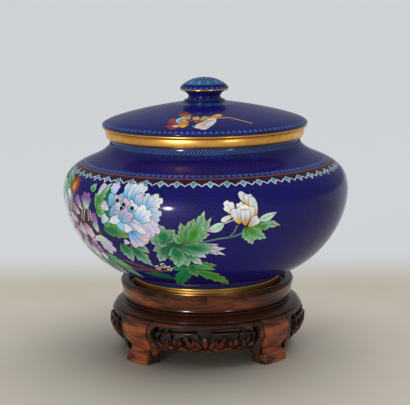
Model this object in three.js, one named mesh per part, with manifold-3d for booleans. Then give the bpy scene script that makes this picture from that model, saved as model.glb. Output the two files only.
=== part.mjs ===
// Covered enamel bowl on its carved wooden stand.
// Millimetres, +Z up. The origin is the centre of the stand on the surface that it rests on.
// The front of the stand, with an apron between two feet, faces -Y.

import * as THREE from 'three';
import { mergeVertices } from 'three/addons/utils/BufferGeometryUtils.js';
import Module from 'manifold-3d';

const wasm = await Module();
wasm.setup();

// ---- Driving dimensions ----------------------------------------------------------

const SEGMENTS = 36;              // facets round the bowl, the lid and the stand
const KNOB_SEGMENTS = 24;
const GAP = 0.3;                  // clearance between pieces that rest on each other

const FLOOR = 0;
const LEG_TOP = 44.0;
const SHOULDER_TOP = 54.2;
const SEAT_FLOOR = 62.0;
const SEAT_LIP = 69.9;

const FOOT_RING_TOP = 73.4;
const BELLY_START = 76.7;
const BELLY_HEIGHT = 158.4;       // height of the widest place of the bowl
const BOWL_TOP = 209.9;
const COLLAR_TOP = 219.8;
const RIM_TOP = 222.4;
const LID_EDGE = 222.7;
const LID_CROWN = 245.2;
const KNOB_BASE = 245.5;
const KNOB_EDGE = 257.4;
const KNOB_TOP = 268.0;

const BELLY_RADIUS = 140;
const NECK_RADIUS = 92.6;
const FOOT_RADIUS = 73.2;
const MOUTH_RADIUS = 88.2;
const FLANGE_FOOT = 212.0;        // lower edge of the lid's inner flange
const COLLAR_RADIUS = 97.6;
const LID_RADIUS = 100.8;
const KNOB_RADIUS = 24.0;
const KNOB_FOOT = 20.6;           // radius of the knob where it meets the lid
const WALL = 2.2;                 // enamelled copper wall of the bowl and the lid

const SEAT_RADIUS = 76.8;
const SEAT_OUTER = 86.1;
const SHOULDER_RADIUS = 92.4;
const APRON_RADIUS = 97.2;        // widest place of the bulging apron
const APRON_WALL = 7.0;
const APRON_FOOT = 18.0;          // height of the apron's lower edge
const LEG_WIDTH = 33.0;
const LEG_COUNT = 4;
const LEG_ANGLE = 45;             // degrees from the front to the first leg

// ---- Materials -------------------------------------------------------------------

function finish(color, roughness, metalness) {
  return new THREE.MeshStandardMaterial({ color, roughness, metalness });
}

const enamelBlue = () => finish(0x1c1a5c, 0.22, 0.0);
const gilt = () => finish(0xb98a3e, 0.3, 1.0);
const darkWood = () => finish(0x3a1d14, 0.35, 0.0);
const redWood = () => finish(0x6a3324, 0.35, 0.0);

// ---- Helpers ---------------------------------------------------------------------

const object = new THREE.Group();

function addPiece(name, geometry, material) {
  const mesh = new THREE.Mesh(geometry, material);
  mesh.name = name;
  object.add(mesh);
  return mesh;
}

function point(radius, height) {
  return new THREE.Vector2(radius, height);
}

function bezier(start, first, second, end, steps) {
  return new THREE.CubicBezierCurve(start, first, second, end).getPoints(steps);
}

// Moves every point of an open profile sideways by the wall: to the left of its run.
function inset(profile, wall) {
  return profile.map((here, index) => {
    const before = profile[Math.max(index - 1, 0)];
    const after = profile[Math.min(index + 1, profile.length - 1)];
    const along = after.clone().sub(before).normalize();
    return point(here.x - along.y * wall, here.y + along.x * wall);
  });
}

// A lathe turns its profile about its own Y axis, so it is stood up along Z afterwards.
function turned(profile, segments = SEGMENTS) {
  const geometry = new THREE.LatheGeometry(profile, segments);
  geometry.rotateX(Math.PI / 2);
  return geometry;
}

// A ring's profile closes on itself and runs anticlockwise, inner side last.
function ring(profile, segments = SEGMENTS) {
  return turned([...profile, profile[0].clone()], segments);
}

function solidOf(geometry) {
  const source = geometry.clone();
  source.deleteAttribute('normal');
  source.deleteAttribute('uv');
  const merged = mergeVertices(source, 1e-4);
  const vertProperties = new Float32Array(merged.attributes.position.array);
  const triVerts = new Uint32Array(merged.index.array);
  return new wasm.Manifold(new wasm.Mesh({ numProp: 3, vertProperties, triVerts }));
}

function geometryOf(solid) {
  const mesh = solid.getMesh();
  const geometry = new THREE.BufferGeometry();
  geometry.setAttribute('position', new THREE.BufferAttribute(mesh.vertProperties.slice(), 3));
  geometry.setIndex(new THREE.BufferAttribute(mesh.triVerts.slice(), 1));
  return geometry;
}

// Extrudes a front-view outline (x across, y up) from the axis outwards, towards -Y.
function frontPrism(outline, reach) {
  const shape = new THREE.Shape(outline);
  const geometry = new THREE.ExtrudeGeometry(shape, { depth: reach, bevelEnabled: false });
  geometry.rotateX(Math.PI / 2);
  return geometry;
}

function turnedAbout(geometry, degrees) {
  return geometry.clone().rotateZ(THREE.MathUtils.degToRad(degrees));
}

// ---- Bowl --------------------------------------------------------------------------

function bowlProfile() {
  const lower = bezier(
    point(FOOT_RADIUS - 0.2, BELLY_START), point(108.4, 83.8),
    point(BELLY_RADIUS, 123.0), point(BELLY_RADIUS, BELLY_HEIGHT), 7);
  const upper = bezier(
    point(BELLY_RADIUS, BELLY_HEIGHT), point(BELLY_RADIUS, 194.9),
    point(104.0, 185.6), point(NECK_RADIUS, 208.0), 7);
  return [...lower, ...upper.slice(1), point(NECK_RADIUS, BOWL_TOP)];
}

function bowlBody() {
  const outer = bowlProfile();
  const inner = inset(outer.filter((_, index) => index % 2 === 0), WALL);
  inner[0].set(FOOT_RADIUS - 6, BELLY_START - 0.5);
  inner.push(point(NECK_RADIUS - WALL, BOWL_TOP));
  const bottom = FOOT_RING_TOP + GAP;
  return turned([
    point(0, bottom), point(FOOT_RADIUS - 0.2, bottom), ...outer,
    ...inner.reverse(), point(0, BELLY_START - 0.5),
  ]);
}

addPiece('bowl_body', bowlBody(), enamelBlue());

addPiece('mouth_collar', ring([
  point(MOUTH_RADIUS, BOWL_TOP + GAP), point(NECK_RADIUS + 0.8, BOWL_TOP + GAP),
  point(COLLAR_RADIUS - 2.1, BOWL_TOP + 4.6), point(COLLAR_RADIUS, COLLAR_TOP - 0.8),
  point(COLLAR_RADIUS - 0.8, COLLAR_TOP), point(MOUTH_RADIUS, COLLAR_TOP),
]), gilt());

addPiece('foot_ring', ring([
  point(FOOT_RADIUS - 3.6, SEAT_FLOOR + GAP), point(FOOT_RADIUS - 0.5, SEAT_FLOOR + GAP),
  point(FOOT_RADIUS, SEAT_FLOOR + 1.2), point(FOOT_RADIUS, FOOT_RING_TOP),
  point(FOOT_RADIUS - 3.6, FOOT_RING_TOP),
]), gilt());

// ---- Lid ---------------------------------------------------------------------------

function lidDome() {
  const outer = bezier(
    point(KNOB_FOOT + 0.4, LID_CROWN - 0.1), point(42.0, 242.0),
    point(98.0, 230.8), point(LID_RADIUS, LID_EDGE + 1.4), 6);
  const inner = inset(outer.filter((_, index) => index % 2 === 0), -WALL);
  inner[inner.length - 1].set(LID_RADIUS - WALL - 1, LID_EDGE);
  return turned([
    point(0, LID_CROWN - WALL), ...inner, point(LID_RADIUS - 0.6, LID_EDGE),
    ...outer.reverse(), point(0, LID_CROWN),
  ]);
}

addPiece('lid_dome', lidDome(), enamelBlue());

// A gilt band under the lid, whose inner flange drops into the mouth and keeps it centred.
addPiece('lid_rim', ring([
  point(MOUTH_RADIUS - 3.4, FLANGE_FOOT), point(MOUTH_RADIUS - 0.8, FLANGE_FOOT),
  point(MOUTH_RADIUS - 0.8, COLLAR_TOP + GAP), point(LID_RADIUS - 1.2, COLLAR_TOP + GAP),
  point(LID_RADIUS - 0.8, RIM_TOP), point(MOUTH_RADIUS - 3.4, RIM_TOP),
]), gilt());

function knob() {
  const waist = bezier(
    point(KNOB_FOOT, KNOB_BASE + 0.8), point(KNOB_FOOT - 6.6, KNOB_BASE + 1.8),
    point(KNOB_RADIUS - 11, KNOB_BASE + 6.5), point(KNOB_RADIUS - 0.8, KNOB_EDGE - 1.2), 4);
  const cap = bezier(
    point(KNOB_RADIUS, KNOB_EDGE), point(KNOB_RADIUS - 1.4, KNOB_EDGE + 4.1),
    point(KNOB_RADIUS - 11, KNOB_TOP), point(0, KNOB_TOP), 5);
  return turned([point(0, KNOB_BASE), point(KNOB_FOOT, KNOB_BASE), ...waist, ...cap], KNOB_SEGMENTS);
}

addPiece('lid_knob', knob(), enamelBlue());

// ---- Stand rings -------------------------------------------------------------------

addPiece('stand_seat', turned([
  point(0, SHOULDER_TOP + GAP), point(SEAT_OUTER - 3.6, SHOULDER_TOP + GAP),
  point(SEAT_OUTER - 2.2, 55.8), point(SEAT_OUTER - 0.6, 66.4),
  point(SEAT_OUTER - 1.4, 67.0), point(SEAT_OUTER, 67.8),
  point(SEAT_OUTER - 2.2, SEAT_LIP), point(SEAT_RADIUS + 1.6, SEAT_LIP - 0.3),
  point(SEAT_RADIUS, SEAT_FLOOR), point(0, SEAT_FLOOR),
]), darkWood());

addPiece('stand_shoulder', ring([
  point(74.0, LEG_TOP + GAP), point(SHOULDER_RADIUS - 0.4, LEG_TOP + GAP),
  point(SHOULDER_RADIUS - 0.2, 45.6), point(89.2, 48.4), point(83.4, 50.2),
  point(84.9, 51.2), point(80.8, 52.4), point(80.8, SHOULDER_TOP),
  point(74.0, SHOULDER_TOP),
]), darkWood());

// ---- Legs and aprons ---------------------------------------------------------------

const bulge = [
  point(91.4, APRON_FOOT - 8), point(93.2, 20.0), point(APRON_RADIUS, 30.0),
  point(APRON_RADIUS - 0.2, 36.5), point(SHOULDER_RADIUS - 0.2, LEG_TOP),
];

// A bracket foot: a slice of the drum, cut to the leg's front outline.
function legSolid() {
  const face = bulge.slice(2).map((spot) => point(spot.x + 0.6, spot.y));
  const profile = [
    point(79.0, FLOOR), point(95.4, FLOOR), point(96.4, 1.6), point(96.2, 4.6),
    point(93.4, 5.8), point(94.6, 7.0), point(94.0, 9.4), point(91.2, 10.6),
    point(90.4, 14.0), point(93.8, 20.0), ...face,
    point(82.0, LEG_TOP), point(82.0, 20.0), point(79.0, 10.0),
  ];
  const half = LEG_WIDTH / 2;
  const side = [
    point(half, LEG_TOP + 1), point(half, 17.0), point(half - 3.6, 12.6),
    point(half - 2.8, 10.4), point(half - 1.6, 5.0), point(half - 2.0, -1),
  ];
  const mirrored = side.map((spot) => point(-spot.x, spot.y)).reverse();
  return solidOf(ring(profile)).intersect(solidOf(frontPrism([...mirrored, ...side].reverse(), 120)));
}

// A pointed oval, the outline of a pierced gap between leaves.
function leafGap(x, z, length, width, tilt) {
  const turn = THREE.MathUtils.degToRad(tilt);
  return [0, 60, 120, 180, 240, 300].map((angle) => {
    const around = THREE.MathUtils.degToRad(angle);
    const spot = point(Math.cos(around) * length / 2, Math.sin(around) * width / 2);
    return spot.rotateAround(point(0, 0), turn).add(point(x, z));
  });
}

// Right half of the pierced pattern: a slot along the top, a hooked corner and leaf gaps.
const pierced = [
  [point(7, 38.8), point(7, 36.8), point(36, 36.2), point(36, 38.4)],
  [
    point(39.5, 38.6), point(39.5, 35.2), point(47.4, 33.6), point(49.2, 25.6),
    point(52.4, 27.2), point(50.8, 37.4),
  ],
  leafGap(43.4, 28.8, 9.4, 3.6, 50),
  leafGap(32.6, 31.8, 10.0, 3.4, -24),
  leafGap(20.6, 27.0, 9.6, 3.4, 38),
  leafGap(9.8, 31.2, 9.6, 3.4, -48),
];

// Raised leaves of the right half: place, length, width and tilt.
const carvedLeaves = [
  [38.0, 25.6, 15, 5.4, 28], [28.0, 26.6, 12, 5.2, 118],
  [15.4, 31.0, 13, 5.4, 20], [12.6, 23.2, 13, 4.8, -14],
];

// A faceted mound standing out of the bulging face.
function carvedLeaf(x, z, length, width, tilt) {
  const height = 3.2;
  const mound = new THREE.ConeGeometry(1, height, 5);
  mound.scale(length / 2, 1, width / 2);
  mound.rotateX(Math.PI);
  mound.rotateY(THREE.MathUtils.degToRad(tilt));
  const radius = APRON_RADIUS - Math.abs(z - 34) * 0.22;
  mound.translate(0, -(radius + 0.2), z);
  mound.rotateZ(Math.asin(x / APRON_RADIUS));
  return solidOf(mound);
}

// A slice of the bulging drum between two legs, with its leaves added and its gaps cut.
function apronSolid() {
  const inner = bulge.filter((_, index) => index % 2 === 0)
    .map((spot) => point(spot.x - APRON_WALL, spot.y)).reverse();
  let apron = solidOf(ring([...bulge, ...inner]));
  const edge = [
    point(64, LEG_TOP + 1), point(64, 6.0), point(53.0, 10.6), point(49.0, 15.4),
    point(43.0, APRON_FOOT - 0.4), point(12.0, APRON_FOOT), point(6.0, APRON_FOOT - 1.6),
  ];
  const mirrored = edge.map((spot) => point(-spot.x, spot.y)).reverse();
  apron = apron.intersect(solidOf(frontPrism([...mirrored, ...edge].reverse(), 120)));
  for (const leaf of carvedLeaves) {
    const [x, z, length, width, tilt] = leaf;
    apron = apron.add(carvedLeaf(x, z, length, width, tilt));
    apron = apron.add(carvedLeaf(-x, z, length, width, 180 - tilt));
  }
  apron = apron.add(carvedLeaf(0, 28.6, 15, 5.2, 90));
  for (const outline of pierced) {
    const opposite = outline.map((spot) => point(-spot.x, spot.y)).reverse();
    apron = apron.subtract(solidOf(frontPrism(outline, 120)));
    apron = apron.subtract(solidOf(frontPrism(opposite, 120)));
  }
  const clear = LEG_WIDTH / 2 + GAP;
  const cheek = new THREE.BoxGeometry(clear * 2, 130, 60).translate(0, -75, 25);
  for (const side of [-LEG_ANGLE, LEG_ANGLE]) {
    apron = apron.subtract(solidOf(turnedAbout(cheek, side)));
  }
  return apron;
}

const legGeometry = geometryOf(legSolid());
const apronGeometry = geometryOf(apronSolid());
const quarter = 360 / LEG_COUNT;

for (let index = 0; index < LEG_COUNT; index += 1) {
  const leg = turnedAbout(legGeometry, LEG_ANGLE + index * quarter);
  addPiece(`stand_leg_${index + 1}`, leg, redWood());
  const apron = turnedAbout(apronGeometry, index * quarter);
  addPiece(`stand_apron_${index + 1}`, apron, redWood());
}

export default object;
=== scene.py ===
"""Covered enamel bowl on its carved stand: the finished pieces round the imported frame."""

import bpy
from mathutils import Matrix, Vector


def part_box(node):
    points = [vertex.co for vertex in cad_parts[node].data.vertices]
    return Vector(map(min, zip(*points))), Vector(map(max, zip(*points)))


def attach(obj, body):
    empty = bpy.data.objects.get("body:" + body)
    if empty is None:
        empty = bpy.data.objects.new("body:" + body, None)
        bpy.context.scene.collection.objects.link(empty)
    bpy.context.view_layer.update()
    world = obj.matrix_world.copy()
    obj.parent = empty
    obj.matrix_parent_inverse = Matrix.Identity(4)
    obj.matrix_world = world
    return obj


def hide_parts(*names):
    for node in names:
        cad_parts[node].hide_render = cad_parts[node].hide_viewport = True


bl_info = {
    "name": "Cloisonne Bowl on a Carved Stand",
    "version": (1, 0, 0),
    "blender": (4, 5, 0),
    "location": "3D View > Sidebar > Bowl",
    "description": "Makes the inlaid enamel bowl, its lid, the gilt bands and the carved wooden stand",
    "category": "Object",
}

import math

import bpy
import numpy as np
from bpy.props import FloatProperty, FloatVectorProperty, IntProperty, PointerProperty
from mathutils import Matrix, Vector
from mathutils.geometry import delaunay_2d_cdt

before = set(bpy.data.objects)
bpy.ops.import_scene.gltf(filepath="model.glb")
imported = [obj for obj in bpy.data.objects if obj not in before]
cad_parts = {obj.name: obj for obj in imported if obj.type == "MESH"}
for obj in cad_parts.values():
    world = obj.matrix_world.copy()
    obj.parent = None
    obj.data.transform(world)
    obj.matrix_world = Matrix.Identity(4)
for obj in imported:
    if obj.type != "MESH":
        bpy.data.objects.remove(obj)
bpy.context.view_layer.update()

MM = 0.001
BODY = "root"
TURN = 2 * math.pi


def node_low(node, axis):
    """The lowest place of a CAD node along an axis, in millimetres."""
    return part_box(node)[0][axis] / MM


def node_high(node, axis):
    """The highest place of a CAD node along an axis, in millimetres."""
    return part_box(node)[1][axis] / MM


# ---- Sizes and colours that a user would change -----------------------------------------


def length(name, default, description):
    """A length in millimetres."""
    return FloatProperty(name=name, default=default, min=0.0, description=description)


def colour(name, default, description):
    """A linear colour."""
    return FloatVectorProperty(
        name=name, default=default, size=3, subtype="COLOR", min=0.0, max=1.0, description=description
    )


class VesselSizes(bpy.types.PropertyGroup):
    """Sizes of the bowl, the lid and their inlay, in millimetres."""

    belly_radius: length("Belly radius", node_high("bowl_body", 0), "Widest radius of the bowl")
    bowl_foot: length("Bowl foot", node_low("bowl_body", 2), "Height of the underside of the bowl")
    bowl_top: length("Bowl top", node_high("bowl_body", 2), "Height of the bowl's upper edge")
    lid_radius: length("Lid radius", node_high("lid_dome", 0), "Radius of the lid's edge")
    lid_edge: length("Lid edge", node_low("lid_dome", 2), "Height of the lid's lower edge")
    lid_crown: length("Lid crown", node_high("lid_dome", 2), "Height of the lid's top")
    knob_radius: length("Knob radius", node_high("lid_knob", 0), "Widest radius of the knob")
    wall: length("Wall", 2.2, "Thickness of the enamelled copper")
    wire: length("Wire", 0.42, "Width of the gilt wires round the cells")
    ground_cell: length("Ground cell", 2.0, "Width of one cell of the ground pattern")


class EnamelColours(bpy.types.PropertyGroup):
    """Colours of the enamels and the gilding."""

    ground: colour("Ground", (0.0030, 0.0040, 0.150), "Deep blue enamel between the wires")
    inside: colour("Inside", (0.012, 0.17, 0.26), "Turquoise enamel inside the bowl and the lid")
    gilt: colour("Gilt", (0.90, 0.49, 0.12), "Gilding of the bands and wires")
    tarnish: colour("Tarnish", (0.46, 0.20, 0.06), "Darker, worn gilding")


class StandSizes(bpy.types.PropertyGroup):
    """Sizes of the wooden stand, in millimetres."""

    seat_radius: length("Top ring radius", node_high("stand_seat", 0), "Outer radius of the top ring")
    seat_top: length("Top ring height", node_high("stand_seat", 2), "Height of the top ring's lip")
    leg_top: length("Leg top", node_high("stand_leg_1", 2), "Height of the legs' upper ends")
    leg_width: length("Leg width", 33.0, "Width of a leg under the shoulder")
    apron_radius: length("Apron radius", 97.4, "Widest radius of the bulging aprons")
    legs: IntProperty(name="Legs", default=4, min=3, description="Number of legs round the stand")


class WoodColours(bpy.types.PropertyGroup):
    """Colours of the stained and waxed hardwood."""

    light: colour("Light", (0.34, 0.080, 0.022), "Rubbed wood on the outer faces")
    dark: colour("Dark", (0.035, 0.010, 0.006), "Stain along the grain")
    # The recess colour is partly stain and wax and partly painted shade in the carved hollows and on the
    # back faces; it also fills the pores.
    hollow_shade_and_pores: colour("Recess", (0.006, 0.003, 0.002), "Stain and wax in the hollows")


# ---- Curves, outlines and turned profiles -----------------------------------------------

NEAR = 1e-3  # Corners closer than this, in millimetres, are taken as one place.


def bezier(start, first, second, end, steps):
    """Points of a cubic curve."""
    t = np.linspace(0.0, 1.0, steps + 1)[:, None]
    start, first, second, end = (np.array(point, dtype=float) for point in (start, first, second, end))
    rest = 1.0 - t
    return rest**3 * start + 3 * rest**2 * t * first + 3 * rest * t**2 * second + t**3 * end


def round_axis(radius, angle, up):
    """Places or directions round the upright axis, at angles from the front."""
    radius, angle, up = np.broadcast_arrays(radius, angle, up)
    return np.stack([radius * np.sin(angle), -radius * np.cos(angle), up], axis=-1)


class Profile:
    """A turned outline, from low to high, measured along its own length in millimetres."""

    def __init__(self, points):
        self.points = np.array(points, dtype=float)
        steps = np.linalg.norm(np.diff(self.points, axis=0), axis=1)
        self.along = np.concatenate([[0.0], np.cumsum(steps)])
        slope = np.gradient(self.points, self.along, axis=0)
        self.normals = np.stack([slope[:, 1], -slope[:, 0]], axis=1)
        self.length = self.along[-1]

    def radius(self, t):
        return np.interp(t, self.along, self.points[:, 0])

    def height(self, t):
        return np.interp(t, self.along, self.points[:, 1])

    def at_height(self, height):
        """Length along the outline where it reaches a height."""
        return float(np.interp(height, self.points[:, 1], self.along))

    def place(self, angle, t):
        """Points in metres for angles from the front and lengths along the outline."""
        return round_axis(self.radius(t) * MM, angle, self.height(t) * MM)

    def facing(self, angle, t):
        """Outward normals there."""
        out, up = (np.interp(t, self.along, self.normals[:, axis]) for axis in (0, 1))
        normals = round_axis(out, angle, up)
        return normals / np.linalg.norm(normals, axis=-1, keepdims=True)


def left_of(line):
    """Unit vectors to the left of a line, one at each of its points."""
    slope = np.gradient(line, axis=0)
    slope /= np.linalg.norm(slope, axis=1, keepdims=True)
    return np.stack([-slope[:, 1], slope[:, 0]], axis=1)


def inner_wall(points, wall):
    """The same outline moved inwards by the wall."""
    return points + left_of(points) * wall


def laid(drawing, start, along):
    """A drawing along +X, laid from a start in a direction."""
    drawing = np.array(drawing, dtype=float)
    return start + drawing[:, :1] * along + drawing[:, 1:] * np.array([-along[1], along[0]])


def bent(u, span, bend):
    """How far a bent leaf's middle lies off its straight line, at shares of its length."""
    return bend * span * 4 * u * (1 - u)


def midrib(span, bend, first, last):
    """The middle line of a leaf between two shares of its length."""
    u = np.linspace(first, last, 8)
    return np.stack([u * span, bent(u, span, bend)], axis=1)


def petal(span, width, lobes):
    """Outline of a petal along +X from its base: an egg with a ruffled tip."""
    root, middle, plump = 0.42, 0.45, 1.15
    notch, ruffle = 0.24, math.radians(105)
    angle = np.linspace(-math.pi, math.pi, max(24, int((span + width) * 2.2)), endpoint=False)
    u = 0.5 + 0.5 * np.cos(angle)
    v = 0.5 * np.sin(angle) * (root + (1 - root) * u**0.8) * plump
    around = np.arctan2(v * width, (u - middle) * span)
    wave = 0.5 + 0.5 * np.cos(TURN * (around + ruffle) / (2 * ruffle / lobes))
    scallop = 1.0 - notch * wave**4 * (np.abs(around) < ruffle * 0.98) * (lobes > 1)
    return np.stack([(middle + (u - middle) * scallop) * span, v * width * scallop], axis=1)


def blade(span, width, bend=0.0, teeth=0):
    """Outline of a pointed leaf along +X from its base, with a few teeth near its tip."""
    belly = 0.42
    u = np.linspace(0.0, 1.0, max(12, int(span * 0.9)))
    power = math.log(0.5) / math.log(belly)
    half = 0.5 * np.sin(math.pi * u**power) ** 0.9 * width
    if teeth:
        saw = (u * teeth * 1.6) % 1.0
        half = half * np.where((u > 0.36) & (u < 0.94), 0.74 + 0.46 * saw, 1.0)
    middle = bent(u, span, bend)
    right = np.stack([u * span, middle - half], axis=1)
    left = np.stack([u * span, middle + half], axis=1)[-2:0:-1]
    return np.concatenate([right, left])


def strip(line, width):
    """Outline of a ribbon of even width along a line."""
    line = np.array(line, dtype=float)
    side = left_of(line) * width / 2
    return np.concatenate([line - side, (line + side)[::-1]])


def shrunk(outline, inset):
    """A closed outline moved inwards."""
    ahead = np.roll(outline, -1, axis=0) - np.roll(outline, 1, axis=0)
    ahead /= np.maximum(np.linalg.norm(ahead, axis=1, keepdims=True), 1e-9)
    x, y = outline[:, 0], outline[:, 1]
    area = np.sum(x * np.roll(y, -1) - y * np.roll(x, -1))
    return outline + np.stack([-ahead[:, 1], ahead[:, 0]], axis=1) * inset * np.sign(area)


def inside(outline, x, y):
    """Which points lie in a closed outline."""
    hit = np.zeros(len(x), dtype=bool)
    low, high = outline.min(axis=0), outline.max(axis=0)
    near = np.flatnonzero((x > low[0]) & (x < high[0]) & (y > low[1]) & (y < high[1]))
    if not len(near):
        return hit
    px, py = x[near][:, None], y[near][:, None]
    ax, ay = outline[:, 0][None], outline[:, 1][None]
    bx, by = np.roll(outline[:, 0], -1)[None], np.roll(outline[:, 1], -1)[None]
    crosses = (ay > py) != (by > py)
    reach = ax + (py - ay) * (bx - ax) / np.where(by == ay, 1e-12, by - ay)
    hit[near] = np.sum(crosses & (px < reach), axis=1) % 2 == 1
    return hit


def blend(first, second, share):
    """A colour between two colours for each share from 0 to 1."""
    share = np.clip(share, 0.0, 1.0)[:, None]
    return np.array(first) * (1 - share) + np.array(second) * share


def add_line(points, edges, line, closed=False):
    """Adds a line's points, and the edges that join them."""
    first = len(points)
    points.extend(map(tuple, line))
    last = len(points) - 1
    edges.extend((index, index + 1) for index in range(first, last))
    if closed:
        edges.append((last, first))


def flat_triangles(points, edges):
    """Corners and triangles of a flat sheet through all the points, cut along the edges."""
    corners, _, faces, _, _, _ = delaunay_2d_cdt(
        [Vector(point) for point in points], edges, [], 0, NEAR, False
    )
    return np.array(corners), np.array(faces)


# ---- Inlay: cells of enamel and wires on a turned surface --------------------------------

GROUND, PAINTED, WIRES, INSIDE = range(4)


class Inlay:
    """Flat outlines laid on a turned surface, later ones over earlier ones.

    Across is the angle from the front times a fixed radius, up is the length along the profile.
    """

    def __init__(self, profile, radius, wire):
        self.profile = profile
        self.radius = radius
        self.wire = wire
        self.edge = math.pi * radius
        self.cells = []

    def add(self, outline, material, shade=None):
        self.cells.append((np.array(outline, dtype=float), material, shade))

    def across(self, degrees):
        return math.radians(degrees) * self.radius

    def cell(self, outline, shade, share=1.0):
        """A wire loop with enamel in it. Share makes the wire thinner."""
        self.add(outline, WIRES)
        self.add(shrunk(np.array(outline, dtype=float), self.wire * share), PAINTED, shade)

    def vein(self, line, forth, share):
        """A thin wire along a line of a drawing."""
        self.add(forth(strip(line, self.wire * share)), WIRES)

    def local(self, start, end):
        """Turns a drawing along +X into one from start to end, both (degrees, height), and back."""
        low, high = self.profile.at_height(start[1]), self.profile.at_height(end[1])
        middle = self.profile.radius((low + high) / 2)
        first = np.array([math.radians(start[0]) * middle, low])
        last = np.array([math.radians(end[0]) * middle, high])
        span = float(np.linalg.norm(last - first))
        along = (last - first) / span
        side = np.array([-along[1], along[0]])
        stretch = np.array([self.radius / middle, 1.0])

        def forth(drawing):
            return laid(drawing, first, along) * stretch

        def back(x, y):
            flat = np.stack([x, y], axis=1) / stretch - first
            return flat @ along / span, flat @ side

        return span, forth, back

    def petal(self, start, end, width, base, tip, lobes=2, veins=0, warm=0.5):
        """A petal shaded from its base to its tip, over the share of its length called warm."""
        span, forth, back = self.local(start, end)

        def shade(x, y):
            u, v = back(x, y)
            return blend(base, tip, (u - 0.12) / warm + np.abs(v) / width * 0.4)

        self.cell(forth(petal(span, width, lobes)), shade)
        for index in range(veins):
            lean = (index - (veins - 1) / 2) * width * 0.24
            shares = ((0.2, 0.4), (0.45, 1.0), (0.6, 1.0), (0.8, 1.0))
            line = bezier(*((span * out, lean * aside) for out, aside in shares), 5)
            self.vein(line, forth, 0.7)

    def blade(self, start, end, width, heart, edge, bend=0.0, teeth=0, tip=None):
        """A leaf, dark along its midrib and pale at its edge."""
        span, forth, back = self.local(start, end)

        def shade(x, y):
            u, v = back(x, y)
            half = np.maximum(width * 0.5 * np.sin(math.pi * np.clip(u, 0.02, 0.98)), 1.0)
            rim = np.clip(np.abs(v - bent(u, span, bend)) / half, 0, 1)
            mixed = blend(heart, edge, rim**2.6 * 0.5 + 1.1 * u - 0.45)
            return mixed if tip is None else blend(mixed, tip, (u - 0.6) / 0.25)

        self.cell(forth(blade(span, width, bend, teeth)), shade)
        self.vein(midrib(span, bend, 0.0, 0.86), forth, 0.8)
        for at in (0.25, 0.75):
            reach = width * 0.36 * math.sin(math.pi * at)
            for side in (-reach, reach):
                shares = ((0.0, 0.0), (0.4, 0.3), (0.7, 0.7), (1.1, 1.0))
                line = ((at * span + reach * out, bent(at, span, bend) + side * up) for out, up in shares)
                self.vein(bezier(*line, 4), forth, 0.6)

    def stem(self, places, width, shade):
        """A branch through places given as (degrees, height)."""
        at = self.profile.at_height
        line = np.array([(self.across(degrees), at(height)) for degrees, height in places])
        fine = np.linspace(0, len(line) - 1, len(line) * 5)
        smooth = np.stack([np.interp(fine, range(len(line)), line[:, axis]) for axis in (0, 1)], axis=1)
        for _ in range(3):
            smooth[1:-1] = (smooth[:-2] + 2 * smooth[1:-1] + smooth[2:]) / 4
        self.cell(strip(smooth, width), shade)

    def patch(self, degrees, height, wide, tall, shade, sides=24, share=1.0):
        """An oval cell, in millimetres."""
        up = self.profile.at_height(height)
        stretch = self.radius / self.profile.radius(up)
        angle = np.linspace(0, TURN, sides, endpoint=False)
        oval = np.stack([np.cos(angle) * wide / 2 * stretch, np.sin(angle) * tall / 2], axis=1)
        self.cell(oval + (self.across(degrees), up), shade, share)

    def dot(self, degrees, height, size, shade, sides=8):
        """A small round cell."""
        self.patch(degrees, height, size, size, shade, sides, 0.6)

    def repeat(self, count, drawing, shade):
        """Repeats a drawing round the vessel, unwired. It is given over one period, from 0 to 1 across."""
        period = TURN * self.radius / count
        for index in range(count):
            outline = np.array(drawing, dtype=float)
            outline[:, 0] = (outline[:, 0] + index) * period - self.edge
            self.add(outline, PAINTED, shade)

    def scallops(self, count, low, high, margin, shade):
        """A ring of half rounds from low to high. The margin is the gap beside each, as a share."""
        drawing = [
            (0.5 - (0.5 - margin) * math.cos(turn), low + (high - low) * math.sin(turn))
            for turn in np.linspace(0, math.pi, 9)
        ]
        self.repeat(count, drawing, shade)

    def band(self, low, high, shade):
        """A plain band right round the vessel."""
        x = np.linspace(-math.pi, math.pi, 241) * self.radius
        lower, upper = (np.stack([x, np.full_like(x, up)], axis=1) for up in (low, high))
        self.add(np.concatenate([lower, upper[::-1]]), PAINTED, shade)

    def zigzag(self, count, low, high, width, shade):
        """A zigzag line right round the vessel."""
        x = np.linspace(-math.pi, math.pi, count * 2 + 1) * self.radius
        y = np.where(np.arange(count * 2 + 1) % 2, low, high)
        lower, upper = (np.stack([x, y + shift], axis=1) for shift in (-width / 2, width / 2))
        self.add(np.concatenate([lower, upper[::-1]]), PAINTED, shade)

    def sheet(self, columns, row, fine_box, fine, bands):
        """Cuts the surface into triangles along every outline.

        Gives the corners as (across, up), the triangles and the cell that each one belongs to.
        """
        edge, top = self.edge, self.profile.length
        points, edges = [], []
        columns_x = np.linspace(-edge, edge, columns + 1)
        rows = sorted(set(np.round(np.concatenate([np.arange(0, top - row / 2, row), [top], bands]), 4)))
        for y in rows:
            line = [(x, y) for x in columns_x]
            if y in (rows[0], rows[-1]) or any(abs(y - band) < NEAR for band in bands):
                add_line(points, edges, line)
            else:
                points.extend(line)
        for x in (-edge, edge):
            add_line(points, edges, [(x, y) for y in rows])
        left, right, bottom, upper = fine_box
        for x in np.arange(left, right, fine):
            points.extend((x, y) for y in np.arange(bottom, upper, fine))
        margin = 0.2
        for outline, _, _ in self.cells:
            add_line(points, edges, np.clip(outline, (-edge, margin), (edge, top - margin)), closed=True)
        corners, faces = flat_triangles(points, edges)
        middle = corners[faces].mean(axis=1)
        owner = np.full(len(faces), -1)
        for index, (outline, _, _) in enumerate(self.cells):
            owner[inside(outline, middle[:, 0], middle[:, 1])] = index
        return corners, faces, owner

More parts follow.
